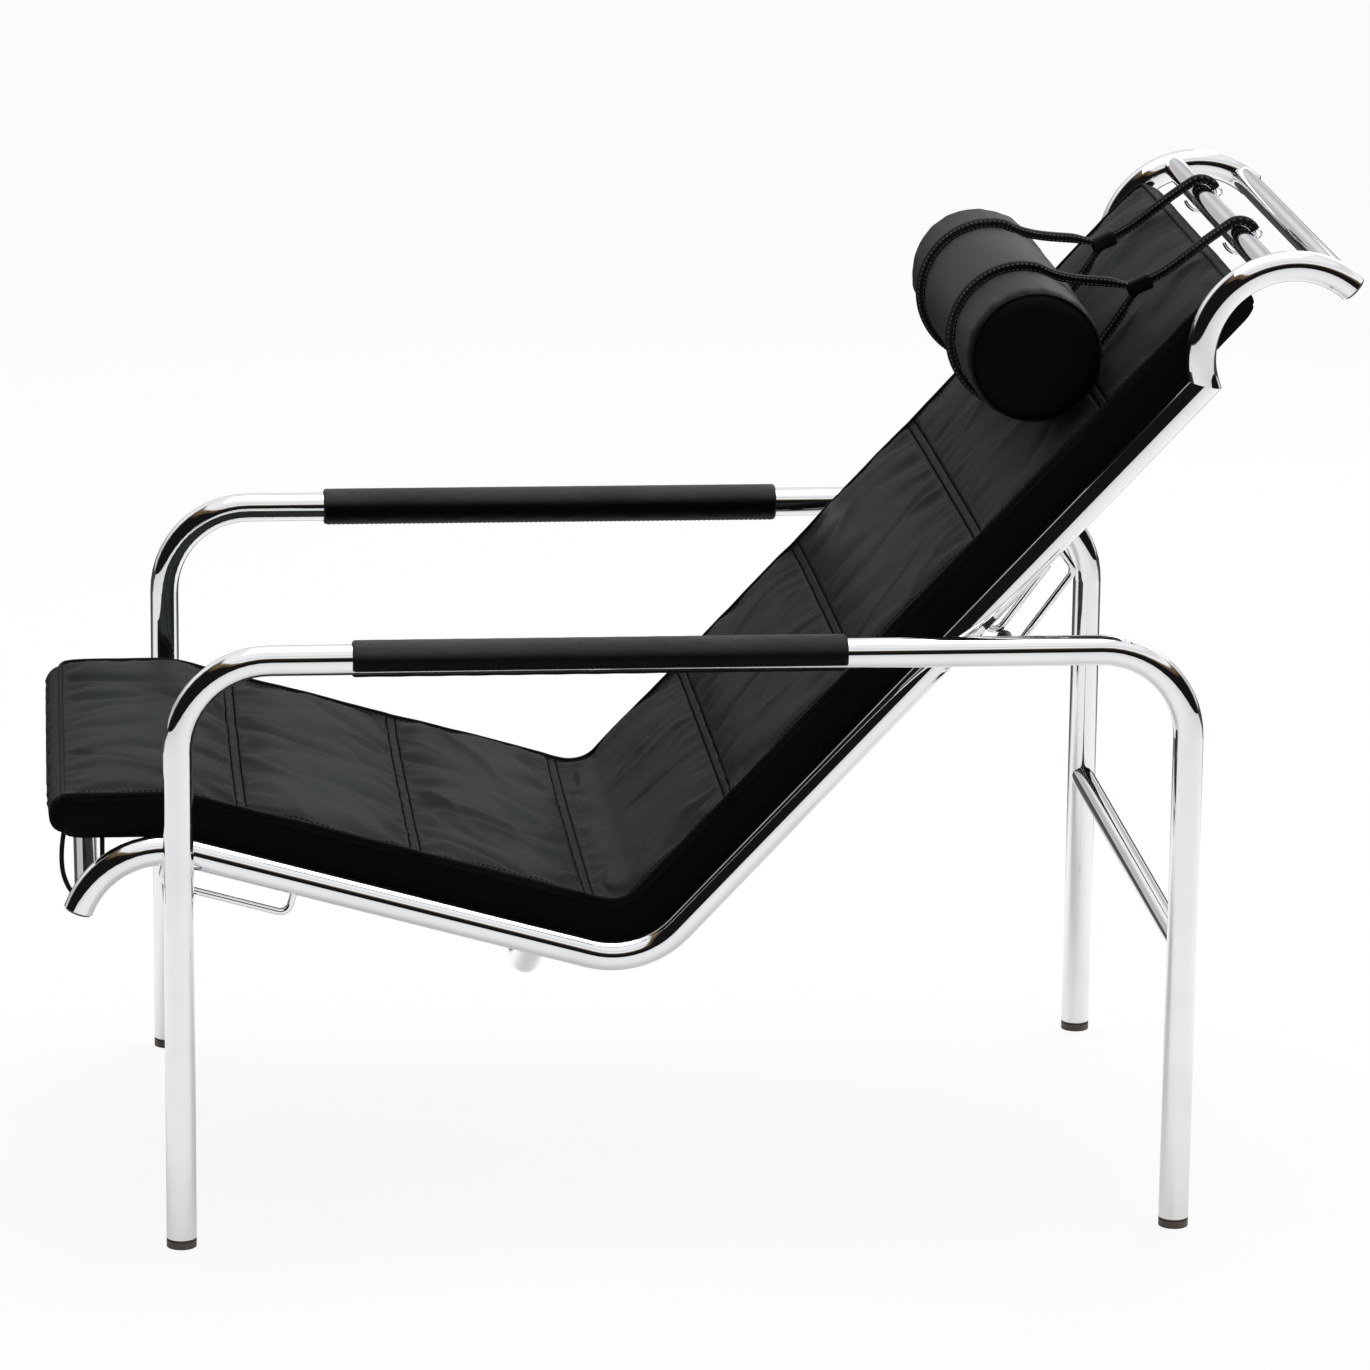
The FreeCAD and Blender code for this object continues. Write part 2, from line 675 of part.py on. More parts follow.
def mat_section(place, heading, width, bottom, top, crown):
    """A closed outline across the mat: flat bottom, rounded sides, crowned top."""
    up = left_vec(heading)
    half = width / 2

    def spot(y, height):
        return place + up * height + Vec(0, y, 0)

    def corner(y_flat, h_flat, y_side, h_side):
        lean = 1 - math.sqrt(0.5)
        return spot(y_side + (y_flat - y_side) * lean, h_flat + (h_side - h_flat) * lean)

    edges = [Part.LineSegment(spot(-half + MAT_SIDE_R, bottom), spot(half - MAT_SIDE_R, bottom))]
    for side in (1, -1):
        flat, wall, roof = side * (half - MAT_SIDE_R), side * half, side * (half - MAT_TOP_R)
        low = Part.Arc(spot(flat, bottom), corner(flat, bottom, wall, bottom + MAT_SIDE_R),
                       spot(wall, bottom + MAT_SIDE_R))
        middle = Part.LineSegment(spot(wall, bottom + MAT_SIDE_R), spot(wall, top - MAT_TOP_R))
        high = Part.Arc(spot(wall, top - MAT_TOP_R), corner(roof, top, wall, top - MAT_TOP_R),
                        spot(roof, top))
        edges += [low, middle, high] if side > 0 else [high, middle, low]
        if side > 0:
            edges.append(Part.Arc(spot(roof, top), spot(0, top + crown), spot(-roof, top)))
    return Part.Wire(Part.__sortEdges__([edge.toShape() for edge in edges]))


def mat_seams(length):
    """Distances of the sewn seams along the mat, its two ends included."""
    seat = [MAT_PITCH * number for number in range(MAT_SEAT_SEAMS + 1)]
    back = [length - MAT_PITCH * number for number in range(MAT_BACK_SEAMS, -1, -1)]
    return seat + back


def mat_stations(axis, seams):
    """Distances of the mat's sections: shares of each panel, steps of each bend, and its rounded ends."""
    stations = set(seams)
    for first, last in zip(seams, seams[1:]):
        stations.update(first + (last - first) * share for share in MAT_PANEL_SHARES)
    reached = 0.0
    for length, _, _, turn, _ in axis.pieces:
        steps = math.ceil(abs(turn) / MAT_STEP_TURN)
        stations.update(reached + length * number / steps for number in range(steps + 1) if steps)
        reached += length
    for share in MAT_ROUND_SHARES:
        stations.update((MAT_END_ROUND * share, reached - MAT_END_ROUND * share))
    kept = [0.0]
    for distance in sorted(stations):
        if distance - kept[-1] > MAT_LEAST_STEP:
            kept.append(distance)
    return kept


def mat():
    """A loft through sections that narrow and sink at each seam and at the ends."""
    axis = spine(0)
    length = axis.length()
    seams = mat_seams(length)
    wires = []
    for distance in mat_stations(axis, seams):
        panel = max(number for number in range(len(seams) - 1) if seams[number] <= distance)
        share = (distance - seams[panel]) / (seams[panel + 1] - seams[panel])
        swell = math.sqrt(max(0.0, 4 * share * (1 - share)))
        inside = min(distance, length - distance, MAT_END_ROUND) / MAT_END_ROUND
        drop = MAT_END_ROUND * (1 - math.sqrt(1 - (1 - inside) ** 2))
        place, heading = axis.at(distance)
        top = MAT_EDGE_H - SEAM_DEPTH * (1 - swell) - 0.4 * drop
        width = MAT_W - SEAM_DRAW_IN * (1 - swell) - drop
        crown = MAT_CROWN * (0.4 + 0.6 * swell)
        wires.append(mat_section(place, heading, width, MAT_BOTTOM + 0.4 * drop, top, crown))
    return Part.makeLoft(wires, True, True)


FRONT_TUBE = front_bow_point(FRONT_TUBE_TURN)


def mat_ties():
    """Two cords from the mat's underside round the front cross tube."""
    reach = BAR_D / 2 + TOUCH + TIE_D / 2
    drop = FRONT_BOW_CENTRE.z + BEND_R + MAT_BOTTOM - FRONT_TUBE.z
    track = Track(FRONT_TUBE + Vec(-reach, 0, drop), -90).run(drop).bend(180, reach).run(drop)
    return both_sides(rod(track, TIE_D), TIE_Y)


# Headrest

BOLSTER_R = BOLSTER_D / 2
MAT_TOP = MAT_EDGE_H + MAT_CROWN
BOLSTER = back_point(-BOLSTER_BELOW_MITRE, MAT_TOP + 2 * TOUCH + BOLSTER_R)
KEEPER = back_point(KEEPER_PAST_MITRE, KEEPER_H)
INNER_BAR = head_bow_point(INNER_BAR_TURN)
STRAP_BAR_R = BAR_D / 2 + TOUCH + STRAP_T / 2
KEEPER_T = 2 * (STRAP_BACK_R + STRAP_T + KEEPER_WALL)


def bolster():
    """A round cushion with domed ends and a dent under each strap."""
    half = BOLSTER_L / 2
    lean = BOLSTER_EDGE_R * (1 - math.sqrt(0.5))
    face = half - BOLSTER_DOME
    rim = BOLSTER_R - BOLSTER_EDGE_R
    sink = STRAP_SINK + TOUCH

    def arc(*points):
        return Part.Arc(*[BOLSTER + Vec(0, y, r) for y, r in points]).toShape()

    def line(*points):
        return Part.LineSegment(*[BOLSTER + Vec(0, y, r) for y, r in points]).toShape()

    edges = [line((-half, 0), (half, 0))]
    for side in (1, -1):
        edges.append(arc((side * half, 0), (side * (half - BOLSTER_DOME / 4), rim / 2), (side * face, rim)))
        edges.append(arc((side * face, rim), (side * (face - lean), BOLSTER_R - lean),
                         (side * (face - BOLSTER_EDGE_R), BOLSTER_R)))
        outer, inner = STRAP_Y + STRAP_GROOVE_HALF, STRAP_Y - STRAP_GROOVE_HALF
        edges.append(line((side * (face - BOLSTER_EDGE_R), BOLSTER_R), (side * outer, BOLSTER_R)))
        dent = ((side * outer, BOLSTER_R), (side * STRAP_Y, BOLSTER_R - sink), (side * inner, BOLSTER_R))
        edges.append(arc(*dent))
    edges.append(line((inner, BOLSTER_R), (-inner, BOLSTER_R)))
    outline = Part.Face(Part.Wire(Part.__sortEdges__(edges)))
    return outline.revolve(BOLSTER, Vec(0, 1, 0), 360)


def belt_face(radius, back_radius):
    """The outline of a belt round the bolster that closes to a narrow gap at the keeper's face."""
    span = KEEPER - BOLSTER
    toward = math.degrees(math.atan2(span.z, span.x))
    open_by = math.degrees(math.acos((radius - back_radius) / span.Length))
    high, low = toward + open_by, toward - open_by
    big = [BOLSTER + heading_vec(angle) * radius for angle in (high, toward + 180, low)]
    small = [KEEPER + heading_vec(angle) * back_radius for angle in (low, toward, high)]
    edges = [Part.Arc(*big).toShape(), Part.LineSegment(big[2], small[0]).toShape(),
             Part.Arc(*small).toShape(), Part.LineSegment(small[2], big[0]).toShape()]
    return Part.Face(Part.Wire(edges))


def keeper_heading():
    """The way of the strap from the keeper to its tangent over the inner bar."""
    span = INNER_BAR - KEEPER
    return math.degrees(math.atan2(span.z, span.x) + math.asin(STRAP_BAR_R / span.Length))


def strap_loops():
    """A band round the bolster at each strap, flat where it lies on the mat, both ends at the keeper's face."""
    inner = BOLSTER_R - STRAP_SINK + TOUCH
    band = belt_face(inner + STRAP_T, STRAP_BACK_R + STRAP_T).cut(belt_face(inner, STRAP_BACK_R))
    band = band.extrude(Vec(0, STRAP_W, 0))
    band.translate(Vec(0, -STRAP_W / 2, 0))
    band = band.cut(beyond(keeper_point(0), keeper_heading(), BOLSTER_D))
    band = band.cut(beyond(back_point(-BOLSTER_BELOW_MITRE, MAT_TOP + TOUCH), BACK_SLOPE - 90, BOLSTER_D))
    return both_sides(band, STRAP_Y)


def keeper_point(along):
    """A point on the strap's line, along it from the keeper's near face."""
    return KEEPER + heading_vec(keeper_heading()) * along


def keepers():
    """A leather sleeve that gathers each strap."""
    block = Part.makeBox(KEEPER_L, KEEPER_W, KEEPER_T, Vec(0, -KEEPER_W / 2, -KEEPER_T / 2))
    block = block.makeFillet(KEEPER_T / 4, block.Edges)
    block.rotate(Vec(0, 0, 0), Vec(0, 1, 0), -keeper_heading())
    block.translate(keeper_point(0))
    return both_sides(block, STRAP_Y)


def strap_track():
    """From the keeper, over the inner bar and down behind it."""
    heading = keeper_heading()
    start = keeper_point(KEEPER_L)
    tangent = INNER_BAR + left_vec(heading) * STRAP_BAR_R
    return Track(start, heading).run((tangent - start).Length).bend(-heading - STRAP_WRAP_TURN, STRAP_BAR_R)


def strap_runs():
    track = strap_track()
    across = left_vec(track.first_heading) * (STRAP_T / 2)
    wide = Vec(0, STRAP_W / 2, 0)
    offsets = (across + wide, across - wide, -across - wide, wide - across)
    corners = [track.start + offset for offset in offsets]
    band = track.wire().makePipeShell([Part.makePolygon(corners + corners[:1])], True, False)
    return both_sides(band, STRAP_Y)


def strap_hooks():
    """A wire hook from each strap's end round the underside of the inner bar."""
    strap = strap_track()
    hook = Track(strap.end, strap.heading).bend(-HOOK_TURN, STRAP_BAR_R + TOUCH)
    return both_sides(rod(hook, HOOK_D), STRAP_Y)


def bars():
    """The cross tubes of the seat frame by name."""
    outer = head_bow_point(OUTER_BAR_TURN)
    return {
        "front_cross_tube": [rail_bar(FRONT_TUBE, RAIL_BARS)],
        "inner_head_bar": [rail_bar(INNER_BAR, BOW_BARS)],
        "outer_head_bar": [rail_bar(outer, BOW_BARS)],
    }


def left_right(name, pair):
    """Names for the copies on the negative and the positive side of Y."""
    return {name + "_left": [pair[0]], name + "_right": [pair[1]]}


def build():
    rear = rear_guides()
    front = front_guides()
    coils = springs()
    parts = {}
    parts.update(left_right("side_frame", side_frames()))
    parts["front_crossbar"] = [base_crossbar(-LEG_X)]
    parts["rear_crossbar"] = [base_crossbar(LEG_X)]
    parts["foot_glides"] = foot_glides()
    parts.update(left_right("arm_pad", mirrored_pair(arm_pad())))
    parts["front_studs"] = studs(FRONT_STUD)
    parts["rear_studs"] = studs(REAR_STUD)
    parts["stud_bushes"] = stud_bushes()
    parts["stud_caps"] = stud_caps()
    parts.update(left_right("seat_rail", seat_rails()))
    parts.update(left_right("head_bow", head_bows()))
    parts["bow_plugs"] = bow_plugs()
    parts.update(bars())
    parts["under_seat_stretcher"] = [stretcher()]
    parts.update(left_right("front_guide", front))
    parts.update(left_right("rear_guide_outer", [rear[0], rear[2]]))
    parts.update(left_right("rear_guide_inner", [rear[1], rear[3]]))
    parts["sling"] = [sling()]
    parts["sling_rods"] = sling_rods()
    parts["springs_left"] = [mirrored(coil) for coil in coils]
    parts["springs_right"] = coils
    parts["spring_cups"] = spring_cups()
    parts["sling_eyes"] = sling_eyes()
    parts["mat"] = [mat()]
    parts["mat_ties"] = mat_ties()
    parts["bolster"] = [bolster()]
    parts["strap_loops"] = strap_loops()
    parts["strap_keepers"] = keepers()
    parts["strap_runs"] = strap_runs()
    parts["strap_hooks"] = strap_hooks()
    return parts


def main():
    os.makedirs("parts", exist_ok=True)
    shapes = {}
    for name, solids in build().items():
        shapes[name] = Part.makeCompound(solids) if len(solids) > 1 else solids[0]
    boxes = [shape.optimalBoundingBox(False, False) for shape in shapes.values()]
    low = min(box.XMin for box in boxes)
    high = max(box.XMax for box in boxes)
    centre_x = (low + high) / 2
    for name, shape in shapes.items():
        shape.translate(Vec(-centre_x, 0, 0))
        shape.exportStep("parts/%s.step" % name)
        print("%-24s solids %d valid %s volume %.1f cm3" % (
            name, len(shape.Solids), shape.isValid(), shape.Volume / 1000))
    pivot = SWING_CENTRE - Vec(centre_x, 0, 0)
    print("swing centre X %.3f Z %.3f, range %.2f degrees" % (pivot.x, pivot.z, SWING))
    top = max(box.ZMax for box in boxes)
    print("length %.1f, height %.1f, shifted by %.3f" % (high - low, top, -centre_x))


main()
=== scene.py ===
import json
import logging
import math
from dataclasses import dataclass, field
from enum import Enum
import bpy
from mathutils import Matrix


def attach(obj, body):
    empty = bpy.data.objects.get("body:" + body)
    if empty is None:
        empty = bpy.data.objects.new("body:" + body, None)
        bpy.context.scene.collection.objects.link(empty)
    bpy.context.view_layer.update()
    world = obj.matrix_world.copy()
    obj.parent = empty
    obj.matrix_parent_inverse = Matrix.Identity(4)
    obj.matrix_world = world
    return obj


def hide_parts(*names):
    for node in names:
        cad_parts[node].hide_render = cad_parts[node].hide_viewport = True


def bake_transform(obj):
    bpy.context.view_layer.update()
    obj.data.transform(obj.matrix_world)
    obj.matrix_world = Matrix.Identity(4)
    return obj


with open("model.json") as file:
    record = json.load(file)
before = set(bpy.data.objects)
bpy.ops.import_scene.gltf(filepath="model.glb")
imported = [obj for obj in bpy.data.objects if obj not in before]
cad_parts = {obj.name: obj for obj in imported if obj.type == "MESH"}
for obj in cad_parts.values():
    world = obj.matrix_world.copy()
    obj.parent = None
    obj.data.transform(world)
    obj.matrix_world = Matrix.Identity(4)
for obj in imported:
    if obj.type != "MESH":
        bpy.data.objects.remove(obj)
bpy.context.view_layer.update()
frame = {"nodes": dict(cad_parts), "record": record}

from types import SimpleNamespace
from typing import Any, Callable, Iterable, Optional, Sequence, Union

import bmesh
import bpy
import numpy as np
from mathutils import Quaternion, Vector

# Looks of a chaise longue: chromed tube, a sewn black leather mat, wrapped arms and a strapped bolster.
# Metres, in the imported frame: X to the rear, Y to the sitter's right, Z up.

log = logging.getLogger("chaise")

Array = np.ndarray
Colour = tuple[float, float, float]
Point = tuple[float, float, float]
Span = tuple[float, float]
Palette = SimpleNamespace
Piece = bpy.types.Object
Material = bpy.types.Material
X_AXIS = np.array([1.0, 0.0, 0.0])
Y_AXIS = np.array([0.0, 1.0, 0.0])
SIDES = (("left", -1.0), ("right", 1.0))
WELD = 0.00001
COARSE_WELD = 0.00005
FINE_WELD = 0.000002
DROOP_PEAK = 27 / 4  # makes s^2 (1 - s) peak at 1
SAG_PEAK = 256 / 27  # makes s (1 - s)^3 peak at 1


class Body(str, Enum):
    """The rigid bodies that pieces ride on."""

    BASE = "base"
    SEAT = "seat"
    HEADREST = "headrest"


class Slot(str, Enum):
    """The record's material slots."""

    CHROME = "chrome"
    MAT = "mat_leather"
    HEADREST = "headrest_leather"
    ARM = "arm_leather"
    STRAP = "strap_leather"
    CANVAS = "canvas"
    STEEL = "spring_steel"
    GLIDE = "glide"
    NYLON = "nylon"


# Shader expressions


def math_node(operation: str, swapped: bool = False) -> Callable:
    """A method that joins a wire and another value in one Math node, in either order."""

    def method(self: "Wire", other: Any) -> "Wire":
        """The node's result."""
        first, second = (other, self) if swapped else (self, other)
        return self.graph.node("ShaderNodeMath", {"operation": operation}, {0: first, 1: second})

    return method


class Wire:
    """A shader socket that takes part in Python expressions."""

    __add__, __radd__ = math_node("ADD"), math_node("ADD", swapped=True)
    __sub__, __rsub__ = math_node("SUBTRACT"), math_node("SUBTRACT", swapped=True)
    __mul__, __rmul__ = math_node("MULTIPLY"), math_node("MULTIPLY", swapped=True)
    peak = math_node("MAXIMUM")

    def __init__(self, graph: "Graph", socket: bpy.types.NodeSocket) -> None:
        """Keeps the socket and the graph that it belongs to."""
        self.graph = graph
        self.socket = socket

    def ramp(self, low: float, high: float) -> "Wire":
        """A smooth step from 0 at low to 1 at high."""
        settings = {"interpolation_type": "SMOOTHSTEP"}
        return self.graph.node("ShaderNodeMapRange", settings, {0: self, 1: low, 2: high, 3: 0.0, 4: 1.0})

    def beside(self, name: str) -> "Wire":
        """Another output of the same node."""
        return Wire(self.graph, self.socket.node.outputs[name])


class Graph:
    """A node tree that is filled through one method."""

    def __init__(self, tree: bpy.types.NodeTree) -> None:
        """Starts from an empty tree."""
        self.tree = tree
        tree.nodes.clear()

    def node(self, kind: str, settings: Optional[dict] = None, inputs: Optional[dict] = None, out: Any = 0) -> Wire:
        """Adds a node.

        Args:
            kind: the node's type.
            settings: its properties, set first.
            inputs: values or wires by socket name or number.
            out: the output that is returned.

        Returns:
            The chosen output.
        """
        made = self.tree.nodes.new(kind)
        for key, value in (settings or {}).items():
            setattr(made, key, value)
        for key, value in (inputs or {}).items():
            if isinstance(value, Wire):
                self.tree.links.new(value.socket, made.inputs[key])
            else:
                made.inputs[key].default_value = value
        return Wire(self, made.outputs[out])

    def place(self, scale: Sequence[float] = (1.0, 1.0, 1.0), source: str = "Object") -> Wire:
        """Texture coordinates of the piece, stretched by scale."""
        coords = self.node("ShaderNodeTexCoord", out=source)
        return self.node("ShaderNodeMapping", {}, {"Vector": coords, "Scale": scale})

    def noise(self, at: Wire, scale: float, detail: float = 3.0, twist: float = 0.0) -> Wire:
        """Soft noise from 0 to 1."""
        inputs = {"Vector": at, "Scale": scale, "Detail": detail, "Distortion": twist}
        return self.node("ShaderNodeTexNoise", {}, inputs)

    def ridges(self, at: Wire, scale: float, detail: float = 3.0) -> Wire:
        """Ridged noise, which reads as creases."""
        settings = {"noise_type": "RIDGED_MULTIFRACTAL", "normalize": True}
        return self.node("ShaderNodeTexNoise", settings, {"Vector": at, "Scale": scale, "Detail": detail})

    def cells(self, at: Wire, scale: float) -> Wire:
        """Distance to the nearest cell border."""
        return self.node("ShaderNodeTexVoronoi", {"feature": "DISTANCE_TO_EDGE"}, {"Vector": at, "Scale": scale})

    def attribute(self, name: str) -> Wire:
        """A float attribute of the mesh."""
        return self.node("ShaderNodeAttribute", {"attribute_name": name}, out="Fac")

    def mix(self, share: Wire, first: Any, second: Any) -> Wire:
        """A mix of two colours or wires."""
        return self.node("ShaderNodeMix", {"data_type": "RGBA"}, {0: share, 6: first, 7: second}, 2)

    def tint(self, share: Wire, first: Colour, second: Colour) -> Wire:
        """A colour between two."""
        return self.mix(share, (*first, 1.0), (*second, 1.0))

    def bump(self, height: Wire, depth: float, strength: float = 1.0) -> Wire:
        """A normal from a height field whose full range is depth metres."""
        inputs = {"Height": height, "Distance": depth, "Strength": strength}
        return self.node("ShaderNodeBump", {}, inputs)

    def principled(self, **inputs: Any) -> Wire:
        """A Principled shader; underscores in names stand for spaces."""
        return self.node("ShaderNodeBsdfPrincipled", {}, {key.replace("_", " "): v for key, v in inputs.items()})

    def output(self, surface: Wire, kind: str = "ShaderNodeOutputMaterial") -> None:
        """Ends the tree in an output node."""
        made = self.tree.nodes.new(kind)
        self.tree.links.new(surface.socket, made.inputs["Surface"])


def grey(value: float) -> Colour:
    """A colour without hue."""
    return value, value, value


def new_material(name: str) -> tuple[Material, Graph]:
    """A material and its empty graph."""
    material = bpy.data.materials.new(name)
    material.use_nodes = True
    return material, Graph(material.node_tree)


# Finishes


class Finish:
    """A material of one Principled shader, whose inputs each kind of finish works out."""

    name: str

    def inputs(self, g: Graph) -> dict[str, Any]:
        """The shader's inputs, underscores for spaces."""
        raise NotImplementedError

    def build(self) -> Material:
        """Makes the material."""
        material, g = new_material(self.name)
        g.output(g.principled(**self.inputs(g)))
        return material


@dataclass(frozen=True)
class Chrome(Finish):
    """Bright plate with faint polishing haze."""

    name: str = "bright_chrome"
    colour: Colour = (0.87, 0.875, 0.885)
    shade: Colour = (0.80, 0.80, 0.81)
    gloss: float = 0.035
    haze_scale: float = 14.0
    rub_scale: float = 900.0
    wave_scale: float = 30.0

    def inputs(self, g: Graph) -> dict[str, Any]:
        """Haze and fine rub marks vary the roughness and the colour a little."""
        at = g.place()
        haze = g.noise(at, self.haze_scale, 4.0)
        rubbed = g.noise(g.place((1.0, 1.0, 0.2)), self.rub_scale, 2.0)
        rough = self.gloss + haze.ramp(0.45, 0.8) * 0.03 + rubbed.ramp(0.62, 0.8) * 0.025
        colour = g.tint(haze.ramp(0.4, 0.9), self.colour, self.shade)
        relief = g.bump(g.noise(at, self.wave_scale, 2.0), 0.00004, 0.5)
        return dict(Base_Color=colour, Metallic=1.0, Roughness=rough, Normal=relief)


@dataclass(frozen=True)
class Leather(Finish):
    """Black hide with pores, fine creases and rubbed patches; where a light_and_wear attribute is given, its colour
    also holds painted light and painted shade.
    """

    name: str
    deep: Colour
    worn_and_lit: Colour
    gloss: float
    pores: float = 950.0
    relief: float = 0.00035
    creases: float = 26.0
    crease_share: float = 0.5
    # Name of a mesh attribute that scales the colour mix: painted light and painted shade on the pieces that use it, in
    # part real wear on the mat.
    light_and_wear: Optional[str] = None
    shine: float = 0.05
    patch_scale: float = 7.0

    def inputs(self, g: Graph) -> dict[str, Any]:
        """Pores are cell borders, creases ridged noise, and both sink and roughen the surface."""
        at = g.place()
        pore = g.cells(at, self.pores).ramp(0.0, 0.22)
        fine = g.noise(at, self.pores * 0.45, 3.0)
        crease = g.ridges(at, self.creases, 5.0).ramp(0.35, 0.95)
        patch = g.noise(at, self.patch_scale, 4.0, 0.6)
        height = pore * 0.35 + fine * 0.3 + crease * self.crease_share
        rubbed = patch.ramp(0.3, 0.75) * 0.7 + fine.ramp(0.55, 0.8) * 0.3
        # Painted light and shade: where the attribute is low the colour goes to the deep colour as painted shade, where
        # it is high to the worn_and_lit colour as painted light; rubbed then holds both the wear patches and this
        # light.
        if self.light_and_wear:
            rubbed = (rubbed * 0.5 + 0.5) * g.attribute(self.light_and_wear)
        colour = g.tint(rubbed, self.deep, self.worn_and_lit)
        rough = self.gloss + (patch - 0.5) * 0.16 + (1.0 - pore) * 0.1 - crease * 0.04
        normal = g.bump(height, self.relief)
        return dict(Base_Color=colour, Roughness=rough, Normal=normal, Specular_IOR_Level=self.shine)


@dataclass(frozen=True)
class Canvas(Finish):
    """Plain woven cloth, its threads along the piece's own UV."""

    name: str = "black_canvas"
    dark: Colour = grey(0.014)
    light: Colour = (0.04, 0.04, 0.041)
    threads: float = 900.0
    slub_scale: float = 60.0

    def inputs(self, g: Graph) -> dict[str, Any]:
        """Two sets of waves across each other give the weave."""
        at = g.place(source="UV")
        wave = {"Vector": at, "Scale": self.threads / 6.283}
        weft, warp = (g.node("ShaderNodeTexWave", {"bands_direction": way}, wave, "Fac") for way in "XY")
        weave = weft.peak(warp)
        slub = g.noise(at, self.slub_scale, 3.0)
        colour = g.tint(weave * 0.7 + slub * 0.3, self.dark, self.light)
        return dict(Base_Color=colour, Roughness=0.8 + slub * 0.15, Normal=g.bump(weave, 0.0005))


@dataclass(frozen=True)
class Steel(Finish):
    """Drawn, zinc plated wire."""

    name: str = "plated_wire"
    bright: Colour = (0.60, 0.60, 0.61)
    dull: Colour = (0.36, 0.36, 0.37)
    blotch_scale: float = 160.0
    drawn_scale: float = 1400.0

    def inputs(self, g: Graph) -> dict[str, Any]:
        """Blotched plate over drawing marks."""
        blotch = g.noise(g.place(), self.blotch_scale, 4.0)
        drawn = g.noise(g.place((1.0, 0.05, 1.0)), self.drawn_scale, 2.0)
        colour = g.tint(blotch.ramp(0.35, 0.7), self.bright, self.dull)
        rough = 0.24 + blotch * 0.18 + drawn * 0.08
        return dict(Base_Color=colour, Metallic=1.0, Roughness=rough, Normal=g.bump(drawn, 0.00005))


@dataclass(frozen=True)
class Moulded(Finish):
    """Matt moulded plastic with a fine spark texture."""

    name: str
    colour: Colour
    scuffed: Colour
    gloss: float = 0.5
    spark_scale: float = 1800.0
    scuff_scale: float = 120.0

    def inputs(self, g: Graph) -> dict[str, Any]:
        """Speckle and a few scuffs vary colour and roughness."""
        spark = g.noise(g.place(), self.spark_scale, 2.0)
        scuff = g.noise(g.place((1.0, 1.0, 4.0)), self.scuff_scale, 4.0).ramp(0.55, 0.75)
        colour = g.tint(scuff * 0.7 + spark * 0.2, self.colour, self.scuffed)
        rough = self.gloss + spark * 0.12 - scuff * 0.1
        return dict(Base_Color=colour, Roughness=rough, Normal=g.bump(spark, 0.00008))


@dataclass(frozen=True)
class Thread(Finish):
    """Twisted waxed thread."""

    name: str
    dark: Colour
    light: Colour
    shine: float = 0.3
    twist_scale: float = 2600.0

    def inputs(self, g: Graph) -> dict[str, Any]:
        """Twist as fine diagonal noise."""
        twist = g.noise(g.place((1.0, 1.0, 2.2)), self.twist_scale, 2.0)
        colour = g.tint(twist, self.dark, self.light)
        rough = 0.5 + twist * 0.2
        return dict(Base_Color=colour, Roughness=rough, Normal=g.bump(twist, 0.0001), Specular_IOR_Level=self.shine)


FINISHES: dict[str, Finish] = {
    "chrome": Chrome(),
    "steel": Steel(),
    "canvas": Canvas(),
    "thread": Thread("mat_thread", grey(0.002), grey(0.006), 0.0),
    "strap_thread": Thread("strap_thread", (0.05, 0.05, 0.048), (0.17, 0.17, 0.165)),
    # On the mat, bolster and arm the second colour is painted light where light_and_wear is high (the mat's sheen-lit
    # top, the bolster's body, the arm's top), and the first colour is painted shade on the mat's bands, the bolster's
    # ends and the arm's underside.
    "mat": Leather("mat_hide", (0.0022, 0.0026, 0.0024), (0.0292, 0.0368, 0.0314), 0.39, relief=0.0006, creases=16.0,
                   crease_share=0.6, light_and_wear="light_and_wear"),
    "piping": Leather("piping_hide", (0.0035, 0.0037, 0.0036), (0.009, 0.0098, 0.0094), 0.42),
    "bolster": Leather("bolster_hide", grey(0.0018), (0.0590, 0.0590, 0.0555), 0.43, pores=1200.0,
                       relief=0.00025, creases=14.0, crease_share=0.25, light_and_wear="light_and_wear"),
    "arm": Leather("arm_hide", grey(0.0012), (0.066, 0.068, 0.069), 0.36, pores=1100.0, relief=0.00025,
                   creases=40.0, crease_share=0.3, light_and_wear="light_and_wear", shine=0.08),
    "strap": Leather("strap_hide", (0.0070, 0.0070, 0.0068), (0.0300, 0.0305, 0.0290), 0.44, pores=1500.0,
                     relief=0.0002, creases=90.0, crease_share=0.4),
    "nylon": Moulded("black_nylon", grey(0.018), grey(0.05)),
    "glide": Moulded("glide_plastic", (0.105, 0.082, 0.066), (0.20, 0.165, 0.14), 0.42),
}


# Surfaces worked out on grids


def heading(degrees: Union[float, Array]) -> Array:
    """Unit vectors in the XZ plane at an angle from +X towards +Z."""
    turn = np.radians(np.asarray(degrees, float))
    return np.stack([np.cos(turn), np.zeros_like(turn), np.sin(turn)], axis=-1)


def left(degrees: Union[float, Array]) -> Array:
    """Unit vectors a quarter turn to the left of a heading."""
    return heading(np.asarray(degrees, float) + 90.0)


def grid_faces(rows: int, cols: int, wrap_rows: bool = False) -> Array:
    """Quads of a grid of rows by cols points, closed across and optionally along."""
    r = np.arange(rows if wrap_rows else rows - 1)[:, None]
    c = np.arange(cols)[None, :]
    r2, c2 = (r + 1) % rows, (c + 1) % cols
    quads = np.stack([r * cols + c, r2 * cols + c, r2 * cols + c2, r * cols + c2], axis=-1)
    return quads.reshape(-1, 4)


